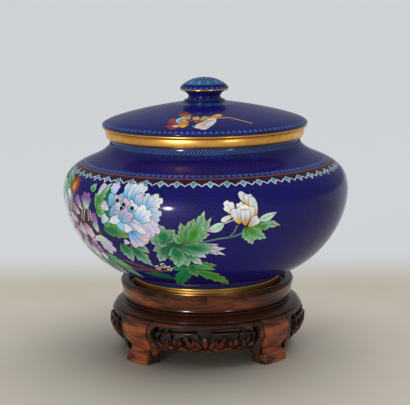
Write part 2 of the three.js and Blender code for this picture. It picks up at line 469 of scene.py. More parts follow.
    def paint(self, flat, owner):
        """The enamel's colour at each corner of the triangles, white where there is none."""
        paint = np.ones((len(flat), 4), dtype=np.float32)
        for index, (_, _, shade) in enumerate(self.cells):
            picked = np.flatnonzero(owner == index)
            if shade is not None and len(picked):
                paint[picked, :3] = shade(*flat[picked].T) if callable(shade) else shade
        return paint

    def cell_counts(self, flat, band_of_corner, band_rows, cell):
        """Ground cells across and up at each corner, with a whole number of cells round each band."""
        limits = np.concatenate([[0.0], band_rows, [self.profile.length]])
        band_radius = self.profile.radius((limits[:-1] + limits[1:]) / 2)
        cells_round = np.maximum(np.round(TURN * band_radius / cell), 8)
        across = flat[:, 0] / (TURN * self.radius) * cells_round[band_of_corner]
        return np.stack([across, flat[:, 1] / cell], axis=1)


def seam_weld(corners, edge):
    """A number for each corner, the same at both edges of the sheet, and which lie on its right edge."""
    on_left, on_right = (np.abs(corners[:, 0] - x) < NEAR for x in (-edge, edge))
    left = {round(float(corners[index, 1]), 2): index for index in np.flatnonzero(on_left)}
    weld = np.arange(len(corners))
    for index in np.flatnonzero(on_right):
        weld[index] = left[round(float(corners[index, 1]), 2)]
    return weld, on_right


def inner_ring(point, along, ring_angle):
    """Corners and normals of one turn of the inside, or of its pole on the axis."""
    radius, height = point * MM
    if radius < 1e-6:
        return np.array([[0.0, 0.0, height]]), np.array([[0.0, 0.0, 1.0 if along[0] < 0 else -1.0]])
    normals = round_axis(along[1], ring_angle, -along[0])
    return round_axis(radius, ring_angle, height), normals / max(math.hypot(along[1], along[0]), 1e-9)


def bridge(low, high):
    """Faces between two rings of corners, where one of them may be a pole."""
    if len(low) == 1 and len(high) == 1:
        return []
    faces = []
    count = max(len(low), len(high))
    for index in range(count):
        ahead = (index + 1) % count
        if len(low) == 1:
            faces.append([low[0], high[ahead], high[index]])
        elif len(high) == 1:
            faces.append([low[index], low[ahead], high[0]])
        else:
            faces.append([low[index], low[ahead], high[ahead], high[index]])
    return faces


def inlaid_piece(name, inlay, inner, materials, cell, columns, row, fine_box=(0, 0, 0, 0), fine=2.0):
    """Makes one closed shell: the inlaid outside, then the inside through the given profile points.

    The inner profile runs from the outside's upper end back to its lower end.
    """
    profile = inlay.profile
    band_rows = np.arange(8 * cell, profile.length - 4 * cell, 8 * cell)
    corners, faces, owner = inlay.sheet(columns, row, fine_box, fine, list(band_rows))
    angle = corners[:, 0] / inlay.radius
    weld, on_right = seam_weld(corners, inlay.edge)

    def rim(height):
        """The corners round one end, in order from the seam."""
        ring = np.flatnonzero((np.abs(corners[:, 1] - height) < NEAR) & ~on_right)
        if len(ring) != columns:
            raise RuntimeError(f"{name}: a rim has {len(ring)} corners instead of {columns}")
        return ring[np.argsort(corners[ring, 0])]

    top_rim, foot_rim = rim(profile.length), rim(0.0)
    vertices = [profile.place(angle, corners[:, 1])]
    facing = [profile.facing(angle, corners[:, 1])]
    rings = [weld[top_rim]]
    count = len(corners)
    inner = np.array(inner, dtype=float)
    for point, along in zip(inner, np.gradient(inner, axis=0)):
        ring, normals = inner_ring(point, along, angle[top_rim])
        vertices.append(ring)
        facing.append(normals)
        rings.append(np.arange(count, count + len(ring)))
        count += len(ring)
    rings.append(weld[foot_rim])
    lining = [face for low, high in zip(rings[:-1], rings[1:]) for face in bridge(low, high)]

    mesh = bpy.data.meshes.new(name)
    polygons = [[int(index) for index in polygon] for polygon in [*weld[faces], *lining]]
    mesh.from_pydata(np.concatenate(vertices).tolist(), [], polygons)
    for material in materials:
        mesh.materials.append(material)
    kinds = np.array([GROUND] + [material for _, material, _ in inlay.cells])[owner + 1]
    slots = np.concatenate([kinds, np.full(len(lining), INSIDE)]).astype(np.int32)
    mesh.polygons.foreach_set("material_index", slots)

    flat = corners[faces.reshape(-1)]
    paint = np.ones((len(mesh.loops), 4), dtype=np.float32)
    paint[: len(flat)] = inlay.paint(flat, np.repeat(owner, 3))
    mesh.attributes.new("Enamel", "FLOAT_COLOR", "CORNER").data.foreach_set("color", paint.reshape(-1))
    uv = np.zeros((len(mesh.loops), 2), dtype=np.float32)
    band_of_face = np.digitize(corners[faces].mean(axis=1)[:, 1], band_rows)
    uv[: len(flat)] = inlay.cell_counts(flat, np.repeat(band_of_face, 3), band_rows, cell)
    mesh.uv_layers.new(name="Cells").data.foreach_set("uv", uv.reshape(-1))

    mesh.validate(verbose=False)
    mesh.polygons.foreach_set("use_smooth", np.ones(len(mesh.polygons), dtype=bool))
    mesh.normals_split_custom_set_from_vertices(np.concatenate(facing).tolist())
    mesh.update()
    return linked(name, mesh)


# ---- Mesh helpers ------------------------------------------------------------------------


def linked(name, mesh):
    """A new object in the scene with a mesh."""
    piece = bpy.data.objects.new(name, mesh)
    bpy.context.scene.collection.objects.link(piece)
    return piece


def clear_selection():
    """Leaves object mode with nothing selected."""
    if bpy.context.object and bpy.context.object.mode != "OBJECT":
        bpy.ops.object.mode_set(mode="OBJECT")
    bpy.ops.object.select_all(action="DESELECT")


def pick(piece):
    """Selects one piece alone."""
    clear_selection()
    piece.select_set(True)
    bpy.context.view_layer.objects.active = piece


def new_piece(name, vertices, edges, faces):
    """A new mesh object from corners in metres."""
    mesh = bpy.data.meshes.new(name)
    mesh.from_pydata([tuple(corner) for corner in vertices], edges, faces)
    return linked(name, mesh)


def rounded(outline, radius, steps=3):
    """A closed outline with its corners rounded."""
    outline = [Vector(point) for point in outline]
    result = []
    for index, corner in enumerate(outline):
        before, after = outline[index - 1], outline[(index + 1) % len(outline)]
        back, ahead = before - corner, after - corner
        cut = min(radius, back.length * 0.45, ahead.length * 0.45)
        start, end = corner + back.normalized() * cut, corner + ahead.normalized() * cut
        for step in range(steps + 1):
            t = step / steps
            result.append(start * (1 - t) ** 2 + corner * 2 * t * (1 - t) + end * t * t)
    return [(point.x, point.y) for point in result]


def spun(name, outline, steps):
    """Spins an outline of (radius, height) in millimetres about the upright axis.

    An outline that starts on the axis also ends there, and any other is closed.
    """
    corners, edges = [], []
    line = [(radius * MM, 0.0, height * MM) for radius, height in outline]
    add_line(corners, edges, line, closed=outline[0][0] > 0)
    piece = new_piece(name, corners, edges, [])
    pick(piece)
    bpy.ops.object.mode_set(mode="EDIT")
    bpy.ops.mesh.select_all(action="SELECT")
    bpy.ops.mesh.spin(steps=steps, angle=TURN, center=(0, 0, 0), axis=(0, 0, 1))
    bpy.ops.mesh.select_all(action="SELECT")
    bpy.ops.mesh.remove_doubles(threshold=1e-6)
    bpy.ops.mesh.normals_make_consistent(inside=False)
    bpy.ops.object.mode_set(mode="OBJECT")
    bpy.ops.object.shade_smooth_by_angle(angle=math.radians(38))
    return piece


def grain_round(piece, parts, start):
    """Stores where each corner lies in the grain of its segment. Each segment is a board of its own."""
    metres_round, board_along, board_across = 0.09, 1.7, 0.31
    mesh = piece.data
    grain = mesh.attributes.new("Grain", "FLOAT_VECTOR", "CORNER")
    values = np.zeros((len(mesh.loops), 3), dtype=np.float32)
    for polygon in mesh.polygons:
        middle = polygon.center
        facing = math.atan2(middle.x, -middle.y)
        segment = math.floor((facing - start) / (TURN / parts))
        for loop in polygon.loop_indices:
            place = mesh.vertices[mesh.loops[loop].vertex_index].co
            angle = math.atan2(place.x, -place.y)
            angle += TURN * round((facing - angle) / TURN)
            radius = math.hypot(place.x, place.y)
            along = angle * metres_round + segment * board_along
            values[loop] = (along, radius + segment * board_across, place.z)
    grain.data.foreach_set("vector", values.reshape(-1))


def turned_copy(piece, name, degrees):
    """A copy with its own mesh, turned about the upright axis."""
    mesh = piece.data.copy()
    mesh.transform(Matrix.Rotation(math.radians(degrees), 4, "Z"))
    mesh.name = name
    return linked(name, mesh)


# ---- Materials ---------------------------------------------------------------------------


class Nodes:
    """Short hand for building a node tree."""

    def __init__(self, tree):
        self.tree = tree

    def add(self, kind, **settings):
        node = self.tree.nodes.new(kind)
        for name, value in settings.items():
            setattr(node, name, value)
        return node

    def feed(self, socket, value):
        """Gives a socket a fixed value or another node's output."""
        if isinstance(value, bpy.types.NodeSocket):
            self.tree.links.new(value, socket)
        else:
            socket.default_value = value

    def feed_all(self, sockets, **values):
        for name, value in values.items():
            self.feed(sockets[name.replace("_", " ")], value)

    def group(self, tree, **inputs):
        node = self.add("ShaderNodeGroup", node_tree=tree)
        self.feed_all(node.inputs, **inputs)
        return node.outputs

    def maths(self, operation, *values):
        node = self.add("ShaderNodeMath", operation=operation)
        for socket, value in zip(node.inputs, values):
            self.feed(socket, value)
        return node.outputs[0]

    def times(self, first, second):
        return self.maths("MULTIPLY", first, second)

    def plus(self, first, second):
        return self.maths("ADD", first, second)

    def minus(self, first, second):
        return self.maths("SUBTRACT", first, second)

    def below(self, value, limit):
        return self.maths("LESS_THAN", value, limit)

    def mix(self, share, first, second, mode="MIX"):
        node = self.add("ShaderNodeMix", data_type="RGBA", blend_type=mode)
        for index, value in ((0, share), (6, first), (7, second)):
            self.feed(node.inputs[index], value)
        return node.outputs[2]

    def stretch(self, vector, *scale):
        node = self.add("ShaderNodeVectorMath", operation="MULTIPLY")
        self.feed(node.inputs[0], vector)
        self.feed(node.inputs[1], scale)
        return node.outputs[0]

    def split(self, vector):
        node = self.add("ShaderNodeSeparateXYZ")
        self.feed(node.inputs[0], vector)
        return node.outputs

    def noise(self, vector, scale, detail=3.0, roughness=0.55, distortion=0.0):
        node = self.add("ShaderNodeTexNoise")
        self.feed_all(node.inputs, Vector=vector, Scale=scale, Detail=detail)
        self.feed_all(node.inputs, Roughness=roughness, Distortion=distortion)
        return node.outputs["Fac"]

    def ramp(self, value, low, high):
        """A smooth step from 0 at the low value to 1 at the high one."""
        node = self.add("ShaderNodeMapRange", interpolation_type="SMOOTHSTEP")
        self.feed_all(node.inputs, Value=value, From_Min=low, From_Max=high)
        return node.outputs["Result"]

    def spots(self, vector, scale, detail, low, high):
        """Smooth-edged spots where the noise passes from low to high."""
        return self.ramp(self.noise(vector, scale, detail), low, high)

    def attribute(self, name):
        return self.add("ShaderNodeAttribute", attribute_name=name).outputs

    def place(self):
        return self.add("ShaderNodeTexCoord").outputs["Object"]

    def bump(self, height, strength, distance):
        node = self.add("ShaderNodeBump")
        self.feed_all(node.inputs, Height=height, Strength=strength, Distance=distance)
        return node.outputs["Normal"]


def new_group(name, inputs, outputs):
    """A shader group with the named sockets, and its builder unless it was built before."""
    if name in bpy.data.node_groups:
        return bpy.data.node_groups[name], None, None, None
    tree = bpy.data.node_groups.new(name, "ShaderNodeTree")
    for sockets, way in ((inputs, "INPUT"), (outputs, "OUTPUT")):
        for label, kind in sockets.items():
            tree.interface.new_socket(name=label, in_out=way, socket_type="NodeSocket" + kind)
    nodes = Nodes(tree)
    return tree, nodes, nodes.add("NodeGroupInput").outputs, nodes.add("NodeGroupOutput").inputs


SURFACE = {"Color": "Color", "Roughness": "Float", "Height": "Float"}


def fret_group():
    """Fine T-shaped wires in staggered cells, from cell coordinates."""
    tree, nodes, given, result = new_group(
        "Fret Ground", {"Cells": "Vector", "Wire": "Float"}, {"Wires": "Float"}
    )
    if nodes is None:
        return tree
    top_of_post, height_of_bar, half_of_bar, half_of_base = 0.62, 0.6, 0.3, 0.36
    wire = given["Wire"]
    half_wire = nodes.times(wire, 0.5)
    across, up, _ = nodes.split(given["Cells"])
    shift = nodes.times(nodes.maths("FLOORED_MODULO", nodes.maths("FLOOR", up), 2.0), 0.5)
    x = nodes.maths("FRACT", nodes.plus(across, shift))
    y = nodes.maths("FRACT", up)
    off_middle = nodes.maths("ABSOLUTE", nodes.minus(x, 0.5))
    off_bar = nodes.maths("ABSOLUTE", nodes.minus(y, height_of_bar))
    base = nodes.times(nodes.below(y, wire), nodes.below(off_middle, half_of_base))
    post = nodes.times(nodes.below(off_middle, half_wire), nodes.below(y, top_of_post))
    bar = nodes.times(nodes.below(off_middle, half_of_bar), nodes.below(off_bar, half_wire))
    nodes.feed(result["Wires"], nodes.maths("MAXIMUM", nodes.maths("MAXIMUM", base, post), bar))
    return tree


def skin_group():
    """Fired enamel: small pits, and slow changes of tone."""
    tree, nodes, given, result = new_group("Enamel Skin", {"Color": "Color", "Vector": "Vector"}, SURFACE)
    if nodes is None:
        return tree
    vector = given["Vector"]
    cloud = nodes.spots(vector, 45.0, 3.0, 0.3, 0.75)
    grain = nodes.spots(vector, 900.0, 2.0, 0.35, 0.65)
    pits = nodes.spots(vector, 520.0, 1.0, 0.70, 0.76)
    darker = nodes.mix(nodes.times(cloud, 0.35), given["Color"], (0.0, 0.0, 0.01, 1.0))
    mottled = nodes.mix(nodes.times(grain, 0.14), darker, (0.55, 0.6, 0.8, 1.0), "SOFT_LIGHT")
    pitted = nodes.mix(nodes.times(pits, 0.6), mottled, (0.01, 0.008, 0.012, 1.0))
    rough = nodes.plus(nodes.times(cloud, 0.06), nodes.plus(nodes.times(pits, 0.3), 0.09))
    waves = nodes.minus(nodes.noise(vector, 60.0, 2.0), nodes.times(pits, 0.6))
    nodes.feed_all(result, Color=pitted, Roughness=rough, Height=waves)
    return tree


def wood_group():
    """Stained, waxed hardwood: long grain and pores, and darker in the hollows, partly stain and partly
    painted shade.
    """
    colours = dict.fromkeys(("Light", "Dark", "Recess"), "Color")
    tree, nodes, given, result = new_group(
        "Carved Wood", {"Vector": "Vector", "Hollow": "Float", **colours}, SURFACE
    )
    if nodes is None:
        return tree
    vector, hollow_shade, dark, hollow_shade_and_pores = (given[name] for name in ("Vector", "Hollow", "Dark", "Recess"))
    figure = nodes.noise(nodes.stretch(vector, 14.0, 90.0, 90.0), 1.0, 4.0, 0.6, 0.8)
    fibre = nodes.noise(nodes.stretch(vector, 70.0, 900.0, 900.0), 1.0, 3.0, 0.6)
    pores = nodes.spots(nodes.stretch(vector, 260.0, 2600.0, 2600.0), 1.0, 1.0, 0.66, 0.72)
    patch = nodes.spots(vector, 28.0, 2.0, 0.35, 0.7)
    tone = nodes.mix(nodes.ramp(figure, 0.36, 0.62), given["Light"], dark)
    fine = nodes.mix(nodes.times(nodes.ramp(fibre, 0.3, 0.7), 0.45), tone, dark)
    stained = nodes.mix(nodes.times(patch, 0.5), fine, dark)
    dotted = nodes.mix(nodes.times(pores, 0.7), stained, hollow_shade_and_pores)
    rough = nodes.plus(nodes.plus(nodes.times(fibre, 0.12), 0.17), nodes.times(hollow_shade, 0.3))
    # Painted shade: the hollow mask turns the wood towards the recess colour.
    nodes.feed_all(
        result, Color=nodes.mix(hollow_shade, dotted, hollow_shade_and_pores), Roughness=rough,
        Height=nodes.minus(nodes.times(fibre, 0.5), pores),
    )
    return tree


def new_material(name):
    """A material with its tree builder and the inputs of its principled shader."""
    material = bpy.data.materials.new(name)
    material.use_nodes = True
    return material, Nodes(material.node_tree), material.node_tree.nodes["Principled BSDF"].inputs


def enamel_material(name, colour=None, strength=0.1, distance=0.0006):
    """Fired enamel of one colour, or else of the colours painted into the cells."""
    material, nodes, shader = new_material(name)
    colour = colour or nodes.attribute("Enamel")["Color"]
    skin = nodes.group(skin_group(), Color=colour, Vector=nodes.place())
    normal = nodes.bump(skin["Height"], strength, distance)
    nodes.feed_all(shader, Base_Color=skin["Color"], Roughness=skin["Roughness"], Normal=normal)
    return material, nodes, shader, skin


LOW_SHINE = 0.22


def ground_material(colours):
    """Deep blue enamel between the fine wires of the ground."""
    material, nodes, shader, skin = enamel_material("Fret Ground Enamel", (*colours.ground, 1.0))
    cells = nodes.add("ShaderNodeUVMap", uv_map="Cells").outputs[0]
    wires = nodes.group(fret_group(), Cells=cells, Wire=0.12)["Wires"]
    nodes.feed_all(
        shader, Base_Color=nodes.mix(wires, skin["Color"], (0.072, 0.056, 0.120, 1.0)),
        Metallic=nodes.times(wires, 0.9), Specular_IOR_Level=LOW_SHINE,
        Roughness=nodes.plus(skin["Roughness"], nodes.times(wires, 0.33)),
    )
    return material


def enamel_materials(colours):
    """The materials of an inlaid piece, in the order of its slots."""
    painted, nodes, shader, _ = enamel_material("Painted Enamel")
    nodes.feed(shader["Specular IOR Level"], LOW_SHINE)
    # The cell wires are gilt darkened to three tenths of the tarnish colour, so that they read dark between
    # the cells.
    darkened_gilt = tuple(value * 0.3 for value in colours.tarnish)
    wire = gilt_material("Darkened Wire", darkened_gilt, darkened_gilt, 0.22)
    lining, _, _, _ = enamel_material("Lining Enamel", (*colours.inside, 1.0), 0.25, 0.001)
    return ground_material(colours), painted, wire, lining


def gilt_material(name, gilt, tarnish, extra=0.1):
    """Gilded copper, worn darker in patches and scratched along its turns."""
    material, nodes, shader = new_material(name)
    place = nodes.place()
    patch = nodes.ramp(nodes.noise(place, 120.0, 4.0, 0.65), 0.38, 0.72)
    fine = nodes.noise(place, 1500.0, 2.0)
    rough = nodes.plus(nodes.times(patch, 0.10), nodes.times(fine, 0.12))
    scratches = nodes.noise(nodes.stretch(place, 90.0, 90.0, 2600.0), 1.0, 2.0)
    nodes.feed_all(
        shader, Base_Color=nodes.mix(nodes.times(patch, 0.4), (*gilt, 1.0), (*tarnish, 1.0)),
        Metallic=1.0, Roughness=nodes.plus(rough, extra), Normal=nodes.bump(scratches, 0.04, 0.0003),
    )
    return material


def wood_material(name, colours, painted_light):
    """Wood that follows the Grain attribute and darkens with the hollow mask, where it is stain and painted
    shade.
    """
    material, nodes, shader = new_material(name)
    # Painted light and shade: each part's light colour is scaled, so the parts are lit and shaded copies of
    # one wood.
    light = (min(1.0, value * painted_light) for value in colours.light)
    hollow_shade = nodes.attribute("Hollow")["Fac"]
    wood = nodes.group(
        wood_group(), Vector=nodes.attribute("Grain")["Vector"], Hollow=hollow_shade, Light=(*light, 1.0),
        Dark=(*colours.dark, 1.0), Recess=(*colours.hollow_shade_and_pores, 1.0),
    )
    polish = nodes.times(nodes.minus(1.0, hollow_shade), 0.24)
    nodes.feed_all(
        shader, Base_Color=wood["Color"], Roughness=wood["Roughness"],
        Normal=nodes.bump(wood["Height"], 0.35, 0.0002), Coat_Weight=polish, Coat_Roughness=0.12,
        Specular_IOR_Level=0.28,
    )
    return material


# ---- The picture in the enamel -----------------------------------------------------------


def enamel(red, green, blue):
    """A linear colour from screen values out of 255."""
    shares = (channel / 255 for channel in (red, green, blue))
    return tuple(share / 12.92 if share <= 0.04 else ((share + 0.055) / 1.055) ** 2.4 for share in shares)


WHITE = enamel(238, 246, 255)
PALE = enamel(212, 230, 252)
SKY = enamel(150, 214, 250)
CYAN = enamel(84, 184, 244)
DEEP = enamel(24, 50, 140)
LILAC = enamel(226, 216, 246)
PURPLE = enamel(150, 100, 176)
MAUVE = enamel(176, 118, 156)
MAROON = enamel(52, 18, 40)
PINK = enamel(236, 206, 220)
CREAM = enamel(246, 240, 226)
YELLOW = enamel(242, 196, 62)
ORANGE = enamel(238, 168, 44)
RED = enamel(160, 48, 30)
BROWN = enamel(128, 72, 66)
MINT = enamel(204, 246, 224)
FRESH = enamel(76, 160, 64)
GREEN = enamel(62, 172, 104)
LEAF = enamel(24, 128, 78)
TEAL = enamel(12, 98, 74)
LIME = enamel(166, 204, 112)
TURQUOISE = enamel(84, 150, 162)
BORDER = enamel(58, 88, 150)
LATTICE = enamel(100, 136, 196)
BORDER_DEEP = enamel(32, 42, 104)
# Pale lines that paint the glint of the chevrons' wires: a painted highlight.
WIRE_GLINT = enamel(206, 218, 218)
TAN = enamel(200, 148, 84)

# Petals: start (degrees, height), end (degrees, height), width in millimetres, colours, lobes.
LILAC_PEONY = [
    ((-56, 148.5), (-64, 155), 10, LILAC, MAUVE, 2), ((-54, 153), (-59.5, 166), 9, LILAC, PURPLE, 2),
    ((-60, 138), (-67, 145), 10, MAUVE, LILAC, 2), ((-59, 132), (-65, 133), 9, LILAC, MAUVE, 2),
    ((-57, 123), (-61, 128), 9, LILAC, MAUVE, 2), ((-51.5, 121), (-51, 110), 10, PALE, MAUVE, 2),
    ((-50, 127), (-55, 115), 10, LILAC, PURPLE, 2), ((-57, 141), (-58, 126), 12, MAUVE, LILAC, 2),
    ((-51, 154.5), (-51, 171), 17, MINT, PURPLE, 4), ((-46, 133.5), (-47.5, 155), 12, MINT, PURPLE, 2),
    ((-54.5, 141), (-50.5, 126), 14, MAUVE, PINK, 4), ((-46.5, 131.5), (-41, 114), 19, MINT, LILAC, 4),
    ((-50, 125), (-46.5, 128.5), 7, PINK, WHITE, 2), ((-60, 147), (-62, 138), 8, MAROON, PINK, 2),
]
LILAC_PEONY_BACK = [
    ((-62, 158), (-68, 170), 12, PURPLE, WHITE, 4), ((-65, 152), (-76, 160), 13, PURPLE, PALE, 4),
    ((-66, 145), (-79, 146), 14, MAUVE, WHITE, 4), ((-64, 138), (-76, 132), 14, PURPLE, PALE, 4),
    ((-62, 130), (-72, 119), 14, MAUVE, WHITE, 4), ((-58, 124), (-65, 109), 13, PURPLE, PALE, 4),
    ((-55, 119), (-58, 104), 12, MAUVE, WHITE, 4), ((-50, 116), (-52, 103), 10, PURPLE, PALE, 3),
]
BLUE_PEONY = [
    ((-35.5, 172), (-36.5, 182.5), 11, SKY, LILAC, 4), ((-30, 169.5), (-29.5, 184), 9, CYAN, PALE, 2),
    ((-29, 170), (-26, 183.5), 9, SKY, WHITE, 2), ((-26.8, 168), (-22.8, 183), 13, CYAN, WHITE, 4),
    ((-25.2, 163.5), (-22, 175), 13, CYAN, LILAC, 4), ((-21, 161), (-19.3, 176), 13, CYAN, PALE, 4),
    ((-20.8, 160.5), (-15.3, 174.5), 13, CYAN, WHITE, 4), ((-21.5, 160.5), (-15, 155), 14, CYAN, PALE, 4),
    ((-22, 156), (-17.3, 137.5), 16, PALE, LILAC, 4), ((-25.5, 149), (-20, 163.5), 18, CYAN, WHITE, 4),
    ((-29, 140), (-26, 123), 11, CYAN, LILAC, 2), ((-28, 140), (-22.8, 125.5), 10, CYAN, LILAC, 2),
    ((-27.5, 140.5), (-20, 131), 9, CYAN, PINK, 2), ((-26.8, 153), (-19.8, 135.5), 8, PALE, LILAC, 1),
    ((-28.3, 149.5), (-21.5, 139), 7, LILAC, WHITE, 1), ((-37.5, 161), (-35.5, 174), 9, CYAN, SKY, 2),
    ((-37.5, 158), (-41.5, 164), 9, PALE, LILAC, 2), ((-42, 144), (-38.5, 153.5), 8, SKY, LILAC, 2),
    ((-30.5, 147.5), (-28.5, 138.5), 9, LILAC, WHITE, 2), ((-37.5, 153), (-31, 160.5), 14, CYAN, LILAC, 4),
    ((-33, 148.5), (-27, 160), 14, CYAN, LILAC, 4), ((-38, 146.5), (-32.5, 152), 9, PALE, WHITE, 4),
    ((-28.5, 159), (-25.5, 168), 11, CYAN, WHITE, 2), ((-34, 165), (-33, 172.5), 10, SKY, PINK, 2),
    ((-30.5, 163), (-28.5, 170), 9, SKY, PINK, 2), ((-35, 159.5), (-31.5, 165), 9, SKY, WHITE, 2),
    ((-32, 131.5), (-31, 126), 7, PALE, LILAC, 2),
]
BUD = [
    ((11.5, 157.5), (6.8, 152), 6, CREAM, WHITE, 1), ((12, 157.5), (8.4, 170), 12, YELLOW, WHITE, 3),
    ((17, 165.5), (14.2, 177.5), 8, YELLOW, WHITE, 1), ((17, 165.5), (17.4, 176), 10, YELLOW, WHITE, 2),
    ((20, 153.5), (18.4, 173), 9, ORANGE, WHITE, 1), ((15, 160.5), (13.3, 169), 8, CREAM, WHITE, 2),
    ((18.2, 150.5), (17.6, 166.5), 10, ORANGE, CREAM, 2), ((13.8, 148.5), (12.2, 165), 13, YELLOW, WHITE, 2),
    ((16, 146.5), (15.8, 163.5), 11, ORANGE, WHITE, 2), ((17, 145.5), (21.6, 154.5), 10, ORANGE, WHITE, 2),
]
# Leaves: start, end, width, colour at the heart, colour at the edge.
LEAVES = [
    ((-64, 118), (-79, 104), 12, GREEN, MINT), ((-60, 112), (-70, 95), 12, GREEN, WHITE),
    ((-56, 108), (-60, 90), 11, GREEN, MINT), ((-50, 106), (-48, 88), 10, LEAF, WHITE),
    ((-66, 160), (-84, 172), 14, GREEN, MINT), ((-68, 150), (-88, 152), 14, GREEN, MINT),
    ((-68, 135), (-88, 128), 13, LEAF, MINT), ((-44, 104), (-36, 86), 9, LEAF, MINT),
    ((-62, 168), (-80, 182), 10, FRESH, MINT),
    ((-48, 171), (-47, 179.5), 8, GREEN, MINT), ((-44.5, 157), (-42, 176), 11, FRESH, MINT),
    ((-44.5, 156), (-38.5, 181.5), 12, FRESH, MINT), ((-44.5, 156), (-39, 159), 9, FRESH, MINT),
    ((-44.5, 156), (-39.5, 150), 9, FRESH, MINT), ((-42, 138.5), (-30, 145.5), 11, GREEN, LIME),
    ((-42, 138.5), (-28.5, 133.5), 12, LEAF, LIME), ((-40.5, 140), (-38.5, 152.5), 8, GREEN, LIME),
    ((-34.5, 127), (-32.5, 107.5), 13, LEAF, MINT), ((-29.5, 128), (-23, 105), 14, LEAF, MINT),
    ((-28, 127.5), (-22, 119.5), 9, LEAF, MINT), ((-48, 112), (-36, 98.5), 11, GREEN, LIME),
    ((-66, 164), (-65, 147), 9, GREEN, MINT), ((-14, 91), (-31.5, 95), 9, TEAL, GREEN),
    ((-4.5, 103), (15, 81.5), 12, FRESH, LIME), ((-4.5, 107), (-16, 79), 12, LEAF, GREEN),
    ((-5, 110), (-15.5, 102.5), 10, LEAF, GREEN), ((-4.5, 110), (6, 108), 10, LEAF, LIME),
    ((-4.5, 107), (5.5, 102.5), 8, GREEN, LIME), ((-5, 110), (-3, 94), 11, LEAF, LIME),
    ((-12, 130), (-20.5, 122.5), 13, TEAL, MINT), ((-12, 129), (-19, 110.5), 14, TEAL, MINT),
    ((-11.5, 127), (-15, 115), 13, TEAL, GREEN), ((-9, 128), (-6.3, 106.5), 14, LEAF, MINT),
    ((-11, 128), (-11, 105), 15, LEAF, MINT), ((-8, 127.5), (0, 108.5), 12, LEAF, LILAC),
    ((-8.5, 128), (1.5, 116.5), 13, LEAF, LILAC), ((-8, 129), (6.5, 130.5), 8, LEAF, LILAC),
    ((-8.5, 128.5), (9.3, 118.5), 10, LEAF, LILAC), ((-8.5, 129), (9.3, 126), 11, LEAF, LILAC),
    ((-15, 132.5), (-21, 133.5), 12, LEAF, MINT), ((-15, 133), (-17, 126.5), 10, LEAF, MINT),
    ((-14.5, 132), (-10, 144.5), 13, LEAF, MINT), ((-14.5, 131.5), (-17, 149.5), 15, LEAF, MINT),
    ((-7, 131.5), (-11, 140.5), 9, FRESH, MINT), ((-7, 131.5), (-8, 151.5), 10, FRESH, MINT),
    ((-5.5, 131.5), (3, 140.5), 10, FRESH, MINT), ((-6, 131.5), (3.6, 156.5), 10, FRESH, MINT),
    ((-6.5, 131.5), (-2.5, 155.5), 11, FRESH, MINT), ((-6, 131), (1, 162.5), 12, FRESH, MINT),
    ((15.5, 145.5), (19.6, 128), 12, FRESH, MINT), ((16.5, 145), (25.2, 133), 11, FRESH, MINT),
    ((16.5, 145.5), (30.5, 144.5), 10, FRESH, MINT), ((21.5, 144.5), (27, 148), 8, FRESH, MINT),
    ((8.2, 150), (1.2, 143.3), 8, MINT, LILAC), ((21, 151.5), (28.6, 157.5), 7, MINT, LILAC),
]


def round_oval(count, degrees, height, wide, tall):
    """Places at even steps round an oval."""
    turns = (math.radians(360 / count * index) for index in range(count))
    return [(degrees + wide * math.cos(turn), height + tall * math.sin(turn)) for turn in turns]


def spray_picture(inlay):
    """Two peonies, a bud, their leaves and stems, from the left round to the front."""
    inlay.stem([(-23.5, 120), (-24, 107), (-19, 101)], 3.4, BROWN)
    inlay.stem([(-31.5, 100), (-24, 98), (-16, 101)], 3.4, BROWN)
    inlay.stem([(-22, 99), (-31, 104), (-38, 108)], 3.0, BROWN)
    inlay.stem([(-10, 130), (-3.5, 132), (0, 132.5), (5.5, 135.5), (11.5, 137), (15, 140)], 2.2, TURQUOISE)
    inlay.stem([(10, 136.5), (12, 142), (13, 148)], 2.2, TURQUOISE)
    inlay.stem([(-47, 110), (-44, 130), (-46, 150)], 3.0, BROWN)
    inlay.stem([(-47, 110), (-40, 101), (-31, 98)], 3.2, BROWN)
    inlay.stem([(11.5, 153), (8, 150)], 1.8, MINT)
    inlay.patch(-11, 124, 26, 22, TEAL)
    inlay.patch(-40, 162, 17, 40, LEAF)
    for index, (start, end, width, heart, edge) in enumerate(LEAVES):
        bend = 0.06 if index % 2 else -0.05
        rim, tip = (MINT, LILAC) if edge == LILAC else (edge, None)
        inlay.blade(start, end, width * 1.1, heart, rim, bend, teeth=3 if width > 9 else 0, tip=tip)
    inlay.patch(-56, 138, 34, 46, MAROON)
    for start, end, width, base, tip, lobes in LILAC_PEONY_BACK + LILAC_PEONY:
        inlay.petal(start, end, width * 1.12, base, tip, lobes, veins=4 if width > 15 else 1)
    stamens = (
        ((-53, 156), (-56, 142.5)), ((-51.5, 156), (-54.5, 141)), ((-49.5, 157), (-50.5, 142.5)),
        ((-48.5, 155), (-48, 143.5)),
    )
    for start, end in stamens:
        inlay.stem([start, end], 1.7, CREAM)
        inlay.dot(*end, 3.0, MAROON)
    for end in round_oval(6, -62.5, 173, 4.6, 8.5):
        inlay.petal((-62.5, 173), end, 10, ORANGE, RED)
    inlay.dot(-62.5, 171.5, 6, LIME, 10)
    inlay.petal((-44, 169), (-41.5, 181.5), 8, MINT, LILAC)
    inlay.patch(-28.5, 157, 40, 40, SKY)
    for start, end, width, base, tip, lobes in BLUE_PEONY:
        inlay.petal(start, end, width * 1.18, base, tip, lobes, veins=2 if width > 12 else 0, warm=0.62)
    for degrees, height in ((-33.5, 167.5), (-30.5, 164.5), (-26.8, 162), (-31.5, 161)):
        inlay.dot(degrees, height, 4.0, MAROON)
        inlay.dot(degrees + 1.0, height + 1.0, 2.0, CREAM)
    inlay.patch(15.6, 158, 15, 18, CREAM)
    for start, end, width, base, tip, lobes in BUD:
        inlay.petal(start, end, width, base, tip, lobes, veins=1 if width > 10 else 0)
    for middle in ((-18, 106.5), (-15.5, 103.5), (-21, 103.5)):
        for place in round_oval(5, *middle, 1.0, 2.3):
            inlay.dot(*place, 2.6, CREAM)
        inlay.dot(*middle, 1.8, YELLOW)


